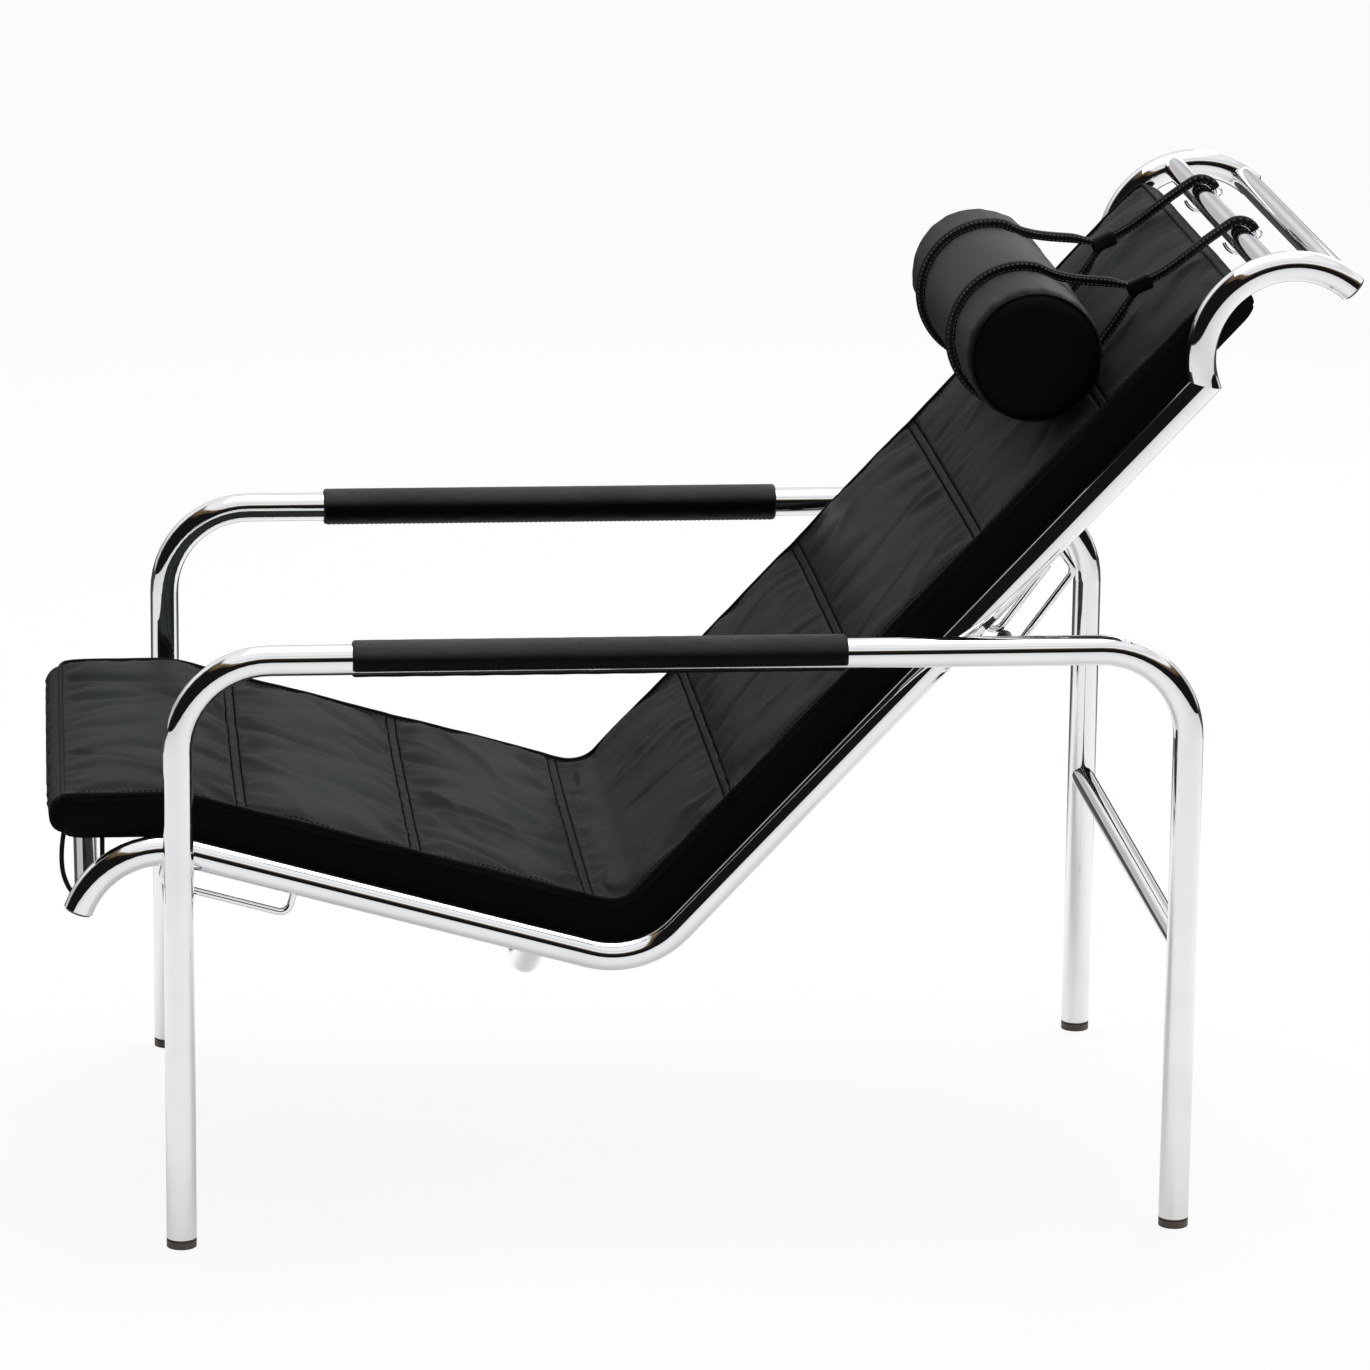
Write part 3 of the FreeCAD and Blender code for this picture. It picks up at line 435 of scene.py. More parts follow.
def closed_ends(rows: int, cols: int) -> list[list[int]]:
    """One face over the first ring of a grid and one over the last."""
    return [list(range(cols)), list(range(rows * cols - 1, (rows - 1) * cols - 1, -1))]


def oval(width: float, height: float, count: int, power: float = 2.0) -> Array:
    """Points of a superellipse: |a/w|^p + |b/h|^p = 1, as (across, up) pairs."""
    turn = np.linspace(0.0, 2 * math.pi, count, endpoint=False)
    c, s = np.cos(turn), np.sin(turn)
    across = np.sign(c) * np.abs(c) ** (2 / power) * width / 2
    up = np.sign(s) * np.abs(s) ** (2 / power) * height / 2
    return np.stack([across, up], axis=-1)


def carried(points: Array, across: Array, up: Array, profile: Array) -> Array:
    """A profile carried along a path: point + a * across + b * up, for every path point and profile point."""
    across, up = np.broadcast_to(across, points.shape), np.broadcast_to(up, points.shape)
    return points[:, None, :] + profile[None, :, :1] * across[:, None, :] + profile[None, :, 1:] * up[:, None, :]


def tangents(points: Array, closed: bool = False) -> Array:
    """Unit tangents of a polyline by central differences."""
    if closed:
        run = np.roll(points, -1, axis=0) - np.roll(points, 1, axis=0)
    else:
        run = np.gradient(points, axis=0)
    return unit(run)


def unit(vectors: Array) -> Array:
    """Vectors scaled to length 1."""
    return vectors / np.maximum(np.linalg.norm(vectors, axis=-1, keepdims=True), 1e-12)


def distances(points: Array) -> Array:
    """Each point's distance along a polyline."""
    return np.concatenate([[0.0], np.cumsum(np.linalg.norm(np.diff(points, axis=0), axis=1))])


def between(at: Array, reach: Array, values: Array) -> Array:
    """Rows of values that belong to distances, interpolated at other distances."""
    return np.stack([np.interp(at, reach, column) for column in values.T], axis=-1)


def resampled(points: Array, step: float) -> Array:
    """A polyline walked in even steps."""
    reach = distances(points)
    count = max(2, int(round(reach[-1] / step)) + 1)
    return between(np.linspace(0.0, reach[-1], count), reach, points)


def spline_weights(at: Array, count: int) -> Array:
    """Weights of a smooth line near evenly spaced values: the cubic B-spline basis at each place.

    Args:
        at: places, in steps from the first value.
        count: how many values there are.

    Returns:
        A matrix of places by values.
    """
    base = np.clip(np.floor(at).astype(int), 0, count - 2)
    t = at - base
    parts = np.stack([(1 - t) ** 3, 3 * t ** 3 - 6 * t ** 2 + 4, -3 * t ** 3 + 3 * t ** 2 + 3 * t + 1, t ** 3], -1) / 6
    spots = np.clip(base[:, None] + np.arange(-1, 3), 0, count - 1)
    weights = np.zeros((len(at), count))
    np.add.at(weights, (np.arange(len(at))[:, None], spots), parts)
    return weights


def eased(values: Array, low: float, high: float) -> Array:
    """A smooth step from 0 at low to 1 at high: 3 t^2 - 2 t^3."""
    t = np.clip((np.asarray(values, float) - low) / (high - low), 0.0, 1.0)
    return t * t * (3 - 2 * t)


def arc(centre: Array, radius: float, first: float, last: float, step: float = 3.0) -> Array:
    """Points of an arc in the XZ plane: centre + radius * heading(angle)."""
    count = max(3, int(abs(last - first) / step) + 1)
    return centre + heading(np.linspace(first, last, count)) * radius


def make_piece(name: str, points: Array, faces: Iterable, material: Material,
               uv: Optional[Array] = None, values: Optional[dict[str, Array]] = None) -> Piece:
    """A mesh object from arrays, smooth shaded.

    Args:
        name: the piece's name.
        points: its vertices.
        faces: its faces as vertex numbers.
        material: its finish.
        uv: a UV pair per vertex.
        values: float attributes per vertex.

    Returns:
        The object, in the scene and at the origin.
    """
    mesh = bpy.data.meshes.new(name)
    listed = faces.tolist() if isinstance(faces, np.ndarray) else [list(face) for face in faces]
    mesh.from_pydata(np.asarray(points, float).reshape(-1, 3).tolist(), [], listed)
    for key, numbers in (values or {}).items():
        mesh.attributes.new(key, "FLOAT", "POINT").data.foreach_set("value", np.asarray(numbers, np.float32).ravel())
    if uv is not None:
        corner = np.zeros(len(mesh.loops), np.int32)
        mesh.loops.foreach_get("vertex_index", corner)
        layer = mesh.uv_layers.new(name="UVMap")
        layer.data.foreach_set("uv", np.asarray(uv, np.float32).reshape(-1, 2)[corner].ravel())
    mesh.polygons.foreach_set("use_smooth", np.ones(len(mesh.polygons), bool))
    mesh.materials.append(material)
    mesh.validate()
    mesh.update()
    made = bpy.data.objects.new(name, mesh)
    bpy.context.scene.collection.objects.link(made)
    return made


def shell(name: str, grids: Sequence[Array], material: Material, closed: bool = False, weld: float = WELD,
          **data: Any) -> Piece:
    """One piece from grids of rings, with coinciding points joined and all faces turned outwards.

    Args:
        name: the piece's name.
        grids: points as rows by ring, one grid per tube.
        material: its finish.
        closed: the rows close on themselves; otherwise each tube gets end faces.
        weld: how near points coincide; 0 leaves them as they are.
        data: what make_piece takes besides.

    Returns:
        The object.
    """
    faces, shift = [], 0
    for grid in grids:
        rows, cols = grid.shape[:2]
        faces += (grid_faces(rows, cols, wrap_rows=closed) + shift).tolist()
        if not closed:
            faces += (np.array(closed_ends(rows, cols)) + shift).tolist()
        shift += rows * cols
    piece = make_piece(name, np.concatenate([grid.reshape(-1, 3) for grid in grids]), faces, material, **data)
    if weld:
        work = bmesh.new()
        work.from_mesh(piece.data)
        bmesh.ops.remove_doubles(work, verts=work.verts, dist=weld)
        bmesh.ops.recalc_face_normals(work, faces=work.faces)
        work.to_mesh(piece.data)
        work.free()
        piece.data.update()
    return piece


def stitches(name: str, points: Array, along: Array, up: Array, length: float, thick: float,
             material: Material) -> Piece:
    """Sewn thread: each stitch is a spindle of four rings of six points round its own axis.

    Args:
        name: the piece's name.
        points: the stitches' centres.
        along: their directions.
        up: the surface's normals.
        length: a stitch's length.
        thick: its thickness.
        material: the thread's finish.

    Returns:
        One object with all stitches.
    """
    turn = np.linspace(0.0, 2 * math.pi, 6, endpoint=False)
    share = np.array([-0.5, -0.32, 0.32, 0.5])
    girth = np.array([0.35, 1.0, 1.0, 0.35])
    sink = np.array([-0.9, 0.0, 0.0, -0.9]) * thick * 0.5
    side = np.cross(along, up)
    ring = (np.cos(turn)[:, None, None] * side + np.sin(turn)[:, None, None] * up) * thick * 0.5
    spots = (points + along * (share * length)[:, None, None] + up * sink[:, None, None])[:, None] \
        + ring[None] * girth[:, None, None, None]
    spots = spots.transpose(2, 0, 1, 3)
    one = grid_faces(4, 6)
    count = len(points)
    offset = (np.arange(count) * 24)[:, None]
    quads = (one[None] + offset[:, :, None]).reshape(-1, 4)
    caps = (np.array(closed_ends(4, 6))[None] + offset[:, :, None]).reshape(-1, 6)
    return make_piece(name, spots.reshape(-1, 3), quads.tolist() + caps.tolist(), material)


def dress(piece: Piece, body: Body, slot: Slot, *nodes: str) -> Piece:
    """Rides a piece on its body and hides the nodes it stands for."""
    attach(piece, body.value)
    if nodes:
        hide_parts(*nodes)
    log.info("%s: %d faces on %s", piece.name, len(piece.data.polygons) if piece.type == "MESH" else 0, body.value)
    return piece


# The frame's axes


@dataclass(frozen=True)
class Skeleton:
    """Axis points of the tube frame, from the same sizes as the solids."""

    shift: float = -0.017003
    leg_x: float = 0.416
    side_y: float = 0.2725
    arm_z: float = 0.500
    tube_r: float = 0.0125
    bar_r: float = 0.010
    bend_r: float = 0.075
    seat_slope: float = 15.5
    back_slope: float = 46.9
    corner_from_leg: float = 0.384
    corner_z: float = 0.224
    seat_run: float = 0.389
    back_run: float = 0.6715
    front_tube_turn: float = 74.0
    mitre_turn: float = 61.0
    inner_bar_turn: float = 92.0

    @property
    def corner(self) -> Array:
        """Where the lines of seat and back meet."""
        return np.array([self.corner_from_leg - self.leg_x + self.shift, 0.0, self.corner_z])

    @property
    def mitre(self) -> Array:
        """Where the back rail meets the head bow."""
        return self.corner + heading(self.back_slope) * self.back_run

    @property
    def front_bow_centre(self) -> Array:
        """Centre of the front bow's bend."""
        start = self.corner - heading(-self.seat_slope) * self.seat_run
        return start - left(-self.seat_slope) * self.bend_r

    @property
    def front_tube(self) -> Array:
        """Axis of the front cross tube."""
        return self.front_bow_centre + left(self.front_tube_turn - self.seat_slope) * self.bend_r

    @property
    def inner_bar(self) -> Array:
        """Axis of the inner head bar."""
        way = self.back_slope + self.mitre_turn
        centre = self.mitre - left(way) * self.bend_r
        return centre + left(way - self.inner_bar_turn) * self.bend_r

    @property
    def corner_turn(self) -> float:
        """Turn from seat to back, in degrees."""
        return self.seat_slope + self.back_slope

    @property
    def corner_cut(self) -> float:
        """Length that the corner's bend takes from each run."""
        return self.bend_r * math.tan(math.radians(self.corner_turn / 2))

    def back_point(self, past_mitre: float, height: float) -> Array:
        """A point along the back past the mitre, at a height over the rail axis."""
        return self.mitre + heading(self.back_slope) * past_mitre + left(self.back_slope) * height


class MatPath:
    """The rail axis under the mat: level, down the seat, round the corner and up the back."""

    CORNER = 3

    def __init__(self, bones: Skeleton, front: float, past_mitre: float) -> None:
        """Lists the path's straight runs and bends."""
        first_arc = math.radians(bones.seat_slope) * bones.bend_r
        corner_arc = math.radians(bones.corner_turn) * bones.bend_r
        self.lengths = np.array([front, first_arc, bones.seat_run - bones.corner_cut, corner_arc,
                                 bones.back_run - bones.corner_cut + past_mitre])
        self.turns = np.array([0.0, -bones.seat_slope, 0.0, bones.corner_turn, 0.0])
        self.radius = bones.bend_r
        self.reach = np.concatenate([[0.0], np.cumsum(self.lengths)])
        self.headings = np.concatenate([[0.0], np.cumsum(self.turns)[:-1]])
        starts = [bones.front_bow_centre + np.array([-front, 0.0, bones.bend_r])]
        for number in range(4):
            starts.append(self._end(starts[-1], number))
        self.starts = np.array(starts)

    def _end(self, start: Array, number: int) -> Array:
        """The end of one run or bend."""
        way, turn = self.headings[number], self.turns[number]
        if turn == 0.0:
            return start + heading(way) * self.lengths[number]
        side = math.copysign(self.radius, turn)
        return start + left(way) * side - left(way + turn) * side

    @property
    def length(self) -> float:
        """The whole length."""
        return float(self.reach[-1])

    def at(self, distance: Array) -> tuple[Array, Array]:
        """Points and headings: on a run start + way * rest; on a bend centre - left(turned) * radius.

        Args:
            distance: distances along the path.

        Returns:
            Points and headings in degrees.
        """
        distance = np.asarray(distance, float)
        number = np.clip(np.searchsorted(self.reach, distance, side="right") - 1, 0, 4)
        rest = distance - self.reach[number]
        way, turn = self.headings[number], self.turns[number]
        straight = self.starts[number] + heading(way) * rest[..., None]
        turned = way + turn * rest / self.lengths[number]
        side = (np.sign(turn) * self.radius)[..., None]
        bent = self.starts[number] + left(way) * side - left(turned) * side
        return np.where((turn == 0.0)[..., None], straight, bent), turned


# Sub-assemblies


@dataclass
class Assembly:
    """A group of pieces that is built on the frame's axes."""

    bones: Skeleton
    palette: Palette

    def build(self) -> list[Piece]:
        """Makes the pieces."""
        raise NotImplementedError


@dataclass(frozen=True)
class Wrinkles:
    """Pleats and creases of the mat's top, drawn at random from ranges in metres and radians.

    A pleat is height * exp(-((y - y0 - lean d) / w)^2) * exp(-(d / reach)^2) * (1 - exp(-d / start)), with d the
    distance from its border. A crease is height * exp(-(n / w)^2) * exp(-(t / half)^4), with t along it and n across
    it, bent by a share of t^2; on the seat creases run mostly across, on the back mostly along. Slow waves lie under
    both.
    """

    seed: int = 11
    pleats: int = 11
    corner_spots: tuple[float, ...] = (-0.49, -0.46, 0.46, 0.49)
    corner_spread: float = 0.012
    pleat_breadth: Span = (0.004, 0.013)
    pleat_reach: Span = (0.015, 0.055)
    pleat_lean: Span = (-0.15, 0.45)
    pleat_height: Span = (0.0002, 0.0010)
    pleat_start: float = 0.005
    panel: float = 0.15
    creases: int = 84
    seat_turn: Span = (-0.95, 0.3)
    back_turn: Span = (0.5, 0.4)
    crease_bend: float = 1.6
    crease_half: Span = (0.025, 0.085)
    crease_breadth: Span = (0.0035, 0.0105)
    crease_height: Span = (0.0007, 0.0024)
    raised_share: float = 0.6
    seat_gain: float = 1.5

    def heights(self, along: Array, across: Array, borders: Array, width: float, reach: Array) -> Array:
        """Adds up pleats, creases and waves.

        Args:
            along: distances along the path, as a column.
            across: places in Y, as a grid.
            borders: distances of the panels' borders.
            width: the mat's width.
            reach: where the path's runs and bends start and end.

        Returns:
            Heights over the smooth panel.
        """
        rng = np.random.default_rng(self.seed)
        total = np.zeros(np.broadcast(along, across).shape)
        for border in borders:
            for side in (-1.0, 1.0):
                spot = rng.uniform(-0.5, 0.5, self.pleats)
                spot[:4] = np.array(self.corner_spots) + rng.normal(0.0, self.corner_spread, 4)
                breadth = rng.uniform(*self.pleat_breadth, self.pleats)
                far = rng.uniform(*self.pleat_reach, self.pleats)
                lean = rng.normal(*self.pleat_lean, self.pleats) * side
                height = rng.choice([-1.0, 1.0], self.pleats) * rng.uniform(*self.pleat_height, self.pleats)
                d = ((along - border) * side)[..., None]
                inside = (d > 0) & (d < self.panel)
                d = np.clip(d, 0.0, 0.2)
                shape = np.exp(-((across[..., None] - spot * width - lean * d) / breadth) ** 2 - (d / far) ** 2)
                total += (inside * height * shape * (1 - np.exp(-d / self.pleat_start))).sum(-1)
        for _ in range(self.creases):
            centre, off = rng.uniform(0.02, reach[-1] - 0.02), rng.uniform(-0.48, 0.48) * width
            on_seat = centre < reach[MatPath.CORNER]
            turn = rng.normal(*(self.seat_turn if on_seat else self.back_turn))
            bend, half = rng.normal(0.0, self.crease_bend), rng.uniform(*self.crease_half)
            breadth = rng.uniform(*self.crease_breadth)
            sign = rng.choice([-1.0, 1.0], p=[1 - self.raised_share, self.raised_share])
            height = sign * rng.uniform(*self.crease_height) * (self.seat_gain if on_seat else 1.0)
            t = (along - centre) * math.cos(turn) + (across - off) * math.sin(turn)
            n = (across - off) * math.cos(turn) - (along - centre) * math.sin(turn) + bend * t ** 2
            total += height * np.exp(-(n / breadth) ** 2 - (t / half) ** 4)
        total += 0.0009 * np.sin(41 * along + 23 * across + 1.3) * np.sin(17 * across - 29 * along)
        return total + 0.0006 * np.sin(88 * across + 31 * along + 0.4) * np.sin(37 * along + 2.0)


@dataclass
class SewnMat(Assembly):
    """The leather mat: panels between double-stitched seams, side bands, rolled ends and piping."""

    width: float = 0.438
    front: float = 0.095
    past_mitre: float = 0.080
    bottom: float = 0.008
    edge: float = 0.0435
    crown: float = -0.0014
    pitch: float = 0.150
    seam_half: float = 0.0040
    groove: float = 0.0016
    groove_breadth: float = 0.0013
    dip: float = 0.0022
    front_roll: float = 0.013
    head_roll: float = 0.006
    corner_round: float = 0.016
    band_bulge: float = 0.0018
    spread: float = 0.0042
    piping: float = 0.0040
    piping_out: float = 0.0006
    # Size of the dark cord laid in each groove as painted shade.
    groove_shade_cord: Span = (0.0017, 0.0009)
    stitch: Span = (0.0034, 0.0009)
    stitch_step: float = 0.0046
    edge_inset: float = 0.0056
    seam_zone: float = 0.015
    headrest_from: Span = (0.33, 0.29)
    headrest_to: Span = (0.12, 0.07)
    columns: int = 131
    band_rows: int = 6
    under_columns: int = 15
    rings: int = 7
    row_step: float = 0.0033
    sim_step: float = 0.008
    sim_columns: int = 57
    sim_frames: int = 16
    sim_cap: float = 0.006
    held_seam: float = 0.008
    held_edge: float = 0.03
    wrinkles: Wrinkles = Wrinkles()
    path: MatPath = field(init=False)
    stations: Array = field(init=False)
    points: Array = field(init=False)

    def __post_init__(self) -> None:
        """Lays the mat's path and its stations."""
        self.path = MatPath(self.bones, self.front, self.past_mitre)
        self.stations = self._stations()

    @property
    def borders(self) -> Array:
        """Distances of the panels' borders along the path: the front edge, the seams and the head edge."""
        end = self.path.length
        seat, back = self.pitch * np.arange(4), end - self.pitch * np.arange(4, -1, -1)
        return np.concatenate([[self.front_roll], seat[1:], back[:-1], [end - self.head_roll]])

    @property
    def seam_lines(self) -> Array:
        """Distances of the seams' stitched lines, two at each seam."""
        return (self.borders[1:-1, None] + np.array([-self.seam_half, self.seam_half])).ravel()

    def _stations(self) -> Array:
        """Grid rows: close together at the seams, a row step apart between them."""
        near = np.array([0.0, 0.0015, 0.0028, 0.0035, 0.0040, 0.0045, 0.0052, 0.0068, 0.0092, 0.012])
        rows = []
        for first, last in zip(self.borders[:-1], self.borders[1:]):
            count = int((last - first - 2 * self.seam_zone) / self.row_step)
            apart = np.linspace(first + self.seam_zone, last - self.seam_zone, count)
            rows += [first + near, apart, last - near[::-1]]
        return np.unique(np.round(np.concatenate(rows), 6))

    def swell(self, along: Array) -> Array:
        """0 at a seam and 1 between: (1 - |2 share - 1|^2.6)^0.6."""
        edges = self.borders
        number = np.clip(np.searchsorted(edges, along, side="right") - 1, 0, len(edges) - 2)
        share = (along - edges[number]) / (edges[number + 1] - edges[number])
        return np.clip(1.0 - np.abs(2 * share - 1) ** 2.6, 0.0, 1.0) ** 0.6

    def pressed(self, along: Array) -> Array:
        """1 where the headrest lies and slides, which keeps the leather flat, and 0 elsewhere."""
        left_over = along - self.path.length
        first, last = -np.array(self.headrest_from), -np.array(self.headrest_to)
        return eased(left_over, *first) * (1 - eased(left_over, *last))

    def folds(self, along: Array, across: Array) -> Array:
        """Wrinkles of the top, less high at the corner and under the headrest; the seams' strips stay smooth."""
        start, stop = self.path.reach[MatPath.CORNER:MatPath.CORNER + 2]
        bent = eased(along, start - 0.02, start) * (1 - eased(along, stop, stop + 0.02))
        gap = np.abs(along[..., None] - self.borders).min(-1)
        smooth = (1 - 0.8 * bent) * (1 - 0.9 * np.exp(-(gap / 0.0075) ** 4)) * (1 - 0.45 * self.pressed(along))
        return self.wrinkles.heights(along, across, self.borders, self.width, self.path.reach) * smooth

    def _loop(self, columns: int) -> tuple[Array, Array]:
        """The section's loop: share of the half width, and the band's share from top (0) to bottom (1)."""
        down = np.arange(1, self.band_rows) / self.band_rows
        under = np.linspace(1.0, -1.0, self.under_columns)
        across = np.concatenate([np.linspace(-1.0, 1.0, columns), np.ones(len(down)), under, -np.ones(len(down))])
        drop = np.concatenate([np.zeros(columns), down, np.ones(len(under)), down[::-1]])
        return across, drop

    def _surface(self, stations: Array, columns: int) -> Array:
        """Sections along the path; at each end a few more roll over to the middle height.

        The top is edge height + crown - seam dip - stitched grooves + wrinkles, the band leans out towards the bottom,
        and the end rings follow a quarter ellipse: height * cos, reach * sin.

        Args:
            stations: distances of the sections.
            columns: points across the top.

        Returns:
            Points as rows by loop.
        """
        across, drop = self._loop(columns)
        turn = np.radians(np.linspace(0.0, 80.0, self.rings + 1)[1:])
        row_count, end = len(stations), self.path.length
        along = np.pad(stations, self.rings, mode="edge")
        kept = np.concatenate([np.cos(turn[::-1]), np.ones(row_count), np.cos(turn)])[:, None]
        front, head = -self.front_roll * np.sin(turn[::-1]), self.head_roll * np.sin(turn)
        out = np.concatenate([front, np.zeros(row_count), head])
        slack = (1 - self.swell(along))[:, None]
        tip = np.clip(np.minimum(along - stations[0], stations[-1] - along) / self.corner_round, 0.0, 1.0)
        trim = self.corner_round * (1 - np.sqrt(1 - (1 - tip) ** 2))[:, None]
        free = 1 - eased(along, end - 0.17, end - 0.10)[:, None]
        half = self.width / 2 - 0.35 * trim - 0.0008 * slack - 0.004 * (1 - kept)
        rim = np.where(np.abs(across) == 1.0, np.sign(across), 0.0)[None, :]
        share, drop = across[None, :], drop[None, :]
        y = share * (half + self.spread * free * drop) + rim * self.band_bulge * free * np.sin(math.pi * drop)
        roof = self.edge - 0.15 * self.dip * slack - 0.12 * trim
        dome = self.crown * (1 - np.abs(share) ** 3) - 0.85 * self.dip * slack * (1 - share ** 6)
        near_line = np.exp(-((along[:, None] - self.seam_lines) / self.groove_breadth) ** 2).sum(1)[:, None]
        sewn = self.groove * near_line * (1 - np.abs(share) ** 20)
        crease = self.folds(along[:, None], y) * np.clip((1 - np.abs(share)) * 14, 0.0, 1.0)
        floor = self.bottom + 0.2 * trim
        height = np.where(drop == 0.0, roof + dome - sewn + crease, roof + (floor - roof) * drop)
        middle = (roof + floor) / 2
        height = middle + (height - middle) * kept
        pucker = 1 + 0.12 * (1 - kept) * np.sin(150 * y + 2 * np.sin(37 * y))
        place, way = self.path.at(along)
        place = place[:, None, :] + left(way)[:, None, :] * height[..., None] + y[..., None] * Y_AXIS
        return place + heading(way)[:, None, :] * (out[:, None] * pucker)[..., None]

    def _held(self, stations: Array, columns: int) -> Array:
        """How firmly each point is sewn down: seams, piping, band and underside are held, panels are free."""
        across, drop = self._loop(columns)
        gap = np.abs(stations[:, None] - self.borders[None, :]).min(1)
        near_seam = np.pad(np.exp(-(gap / self.held_seam) ** 2), self.rings, constant_values=1.0)
        near_edge = np.exp(-((1 - np.abs(across)) / self.held_edge) ** 2)
        held = np.maximum(near_seam[:, None], near_edge[None, :])
        return np.where(drop[None, :] > 0.0, 1.0, held)

    def _puffed(self) -> Array:
        """Swells a coarse copy by a short cloth run under pressure and carries the swelling to the fine grid.

        Returns:
            How far each point of the fine top moves.
        """
        count = int(round((self.stations[-1] - self.stations[0]) / self.sim_step)) + 1
        stations = np.linspace(self.stations[0], self.stations[-1], count)
        grid = self._surface(stations, self.sim_columns)
        piece = shell("mat_cloth_run", [grid], self.palette.mat, weld=0.0)
        weights = np.round(self._held(stations, self.sim_columns).ravel(), 2)
        group = piece.vertex_groups.new(name="sewn")
        for level in np.unique(weights):
            group.add(np.flatnonzero(weights == level).tolist(), float(level), "REPLACE")
        cloth = piece.modifiers.new("puff", "CLOTH")
        leather = {"quality": 5, "mass": 0.35, "tension_stiffness": 12.0, "compression_stiffness": 12.0,
                   "shear_stiffness": 6.0, "bending_stiffness": 1.5, "air_damping": 2.0, "use_pressure": True,
                   "uniform_pressure_force": 4.0, "shrink_min": -0.035, "vertex_group_mass": group.name}
        for key, value in leather.items():
            setattr(cloth.settings, key, value)
        cloth.settings.effector_weights.gravity = 0.0
        scene = bpy.context.scene
        cloth.point_cache.frame_start, cloth.point_cache.frame_end = 1, self.sim_frames
        for number in range(1, self.sim_frames + 1):
            scene.frame_set(number)
        moved = np.zeros(grid.size)
        piece.evaluated_get(bpy.context.evaluated_depsgraph_get()).data.vertices.foreach_get("co", moved)
        scene.frame_set(1)
        mesh = piece.data
        bpy.data.objects.remove(piece)
        bpy.data.meshes.remove(mesh)
        shift = (moved.reshape(grid.shape) - grid)[self.rings:-self.rings, :self.sim_columns]
        far = np.linalg.norm(shift, axis=-1, keepdims=True)
        log.info("mat: cloth moved points by up to %.1f mm, on average %.1f mm", far.max() * 1000, far.mean() * 1000)
        shift = shift * (self.sim_cap * np.tanh(far / self.sim_cap) / np.maximum(far, 1e-9))
        by_row = spline_weights((self.stations - stations[0]) / (stations[1] - stations[0]), count)
        by_col = spline_weights(np.linspace(0.0, self.sim_columns - 1, self.columns), self.sim_columns)
        return np.einsum("ri,ijk,cj->rck", by_row, shift, by_col)

    def build(self) -> list[Piece]:
        """Makes the mat, its piping, the dark cords that paint shade in its seams' grooves, and its stitches."""
        _, drop = self._loop(self.columns)
        grid = self._surface(self.stations, self.columns)
        self.points = grid[self.rings:-self.rings, :self.columns]
        self.points += self._puffed() * (1 - 0.5 * self.pressed(self.stations)[:, None, None])
        # Painted light and shade, in part wear: the top panel gets the lighter colour, most on the crowns between
        # seams, and the side bands and underside get the dark colour.
        swell = np.pad(self.swell(self.stations), self.rings)
        light_and_wear = np.where(drop[None, :] == 0.0, 0.35 + 0.65 * swell[:, None], 0.0)
        piece = shell("leather_mat", [grid], self.palette.mat, values={"light_and_wear": light_and_wear})
        dress(piece, Body.SEAT, Slot.MAT, "mat")
        return [piece, self._piping(), self._groove_shade_cords(), self._seam_stitches()]

    def _piping(self) -> Piece:
        """A welt round the top edge: a round profile carried along the panel's border."""
        sheet, rows, short = self.points, self.stations, self.columns - 1
        border = np.concatenate([sheet[:-1, 0], sheet[-1, :-1], sheet[:0:-1, -1], sheet[0, :0:-1]])
        for _ in range(3):
            border = (np.roll(border, 1, 0) + 2 * border + np.roll(border, -1, 0)) / 4
        way = tangents(border, closed=True)
        along = [rows[:-1], np.full(short, rows[-1]), rows[:0:-1], np.full(short, rows[0])]
        _, slope = self.path.at(np.concatenate(along))
        up = left(slope)
        out = unit(np.cross(way, up))
        out *= np.sign(((border - border.mean(0)) * out).sum(-1, keepdims=True) + 1e-9)
        ring = carried(border + out * self.piping_out, out, up, oval(self.piping, self.piping, 10))
        return dress(shell("mat_piping", [ring], self.palette.piping, closed=True), Body.SEAT, Slot.MAT)

    def on_top(self, along: Array, share: Array) -> tuple[Array, Array]:
        """Points of the top panel and its normals, interpolated on the grid.

        Args:
            along: distances along the path.
            share: places across, from -1 to 1.

        Returns:
            Points and unit normals.
        """
        row = np.interp(along, self.stations, np.arange(len(self.stations)))
        col = (share + 1) / 2 * (self.columns - 1)
        r, c = np.clip(row.astype(int), 0, len(self.stations) - 2), np.clip(col.astype(int), 0, self.columns - 2)
        fr, fc = (row - r)[:, None], (col - c)[:, None]
        p = self.points
        spot = (p[r, c] * (1 - fr) + p[r + 1, c] * fr) * (1 - fc) + (p[r, c + 1] * (1 - fr) + p[r + 1, c + 1] * fr) * fc
        normal = unit(np.cross(p[r + 1, c] - p[r, c], p[r, c + 1] - p[r, c]))
        return spot, normal

    def _groove_shade_cords(self) -> Piece:
        """A dark cord laid in each groove as painted shade: a flat oval profile carried along the seam's two lines."""
        share = np.linspace(-0.985, 0.985, 150)
        grids = []
        for line in self.seam_lines:
            spot, up = self.on_top(np.full(len(share), line), share)
            grids.append(carried(spot, unit(np.cross(tangents(spot), up)), up, oval(*self.groove_shade_cord, 8)))
        return dress(shell("mat_groove_shade_cords", grids, self.palette.thread), Body.SEAT, Slot.STRAP)

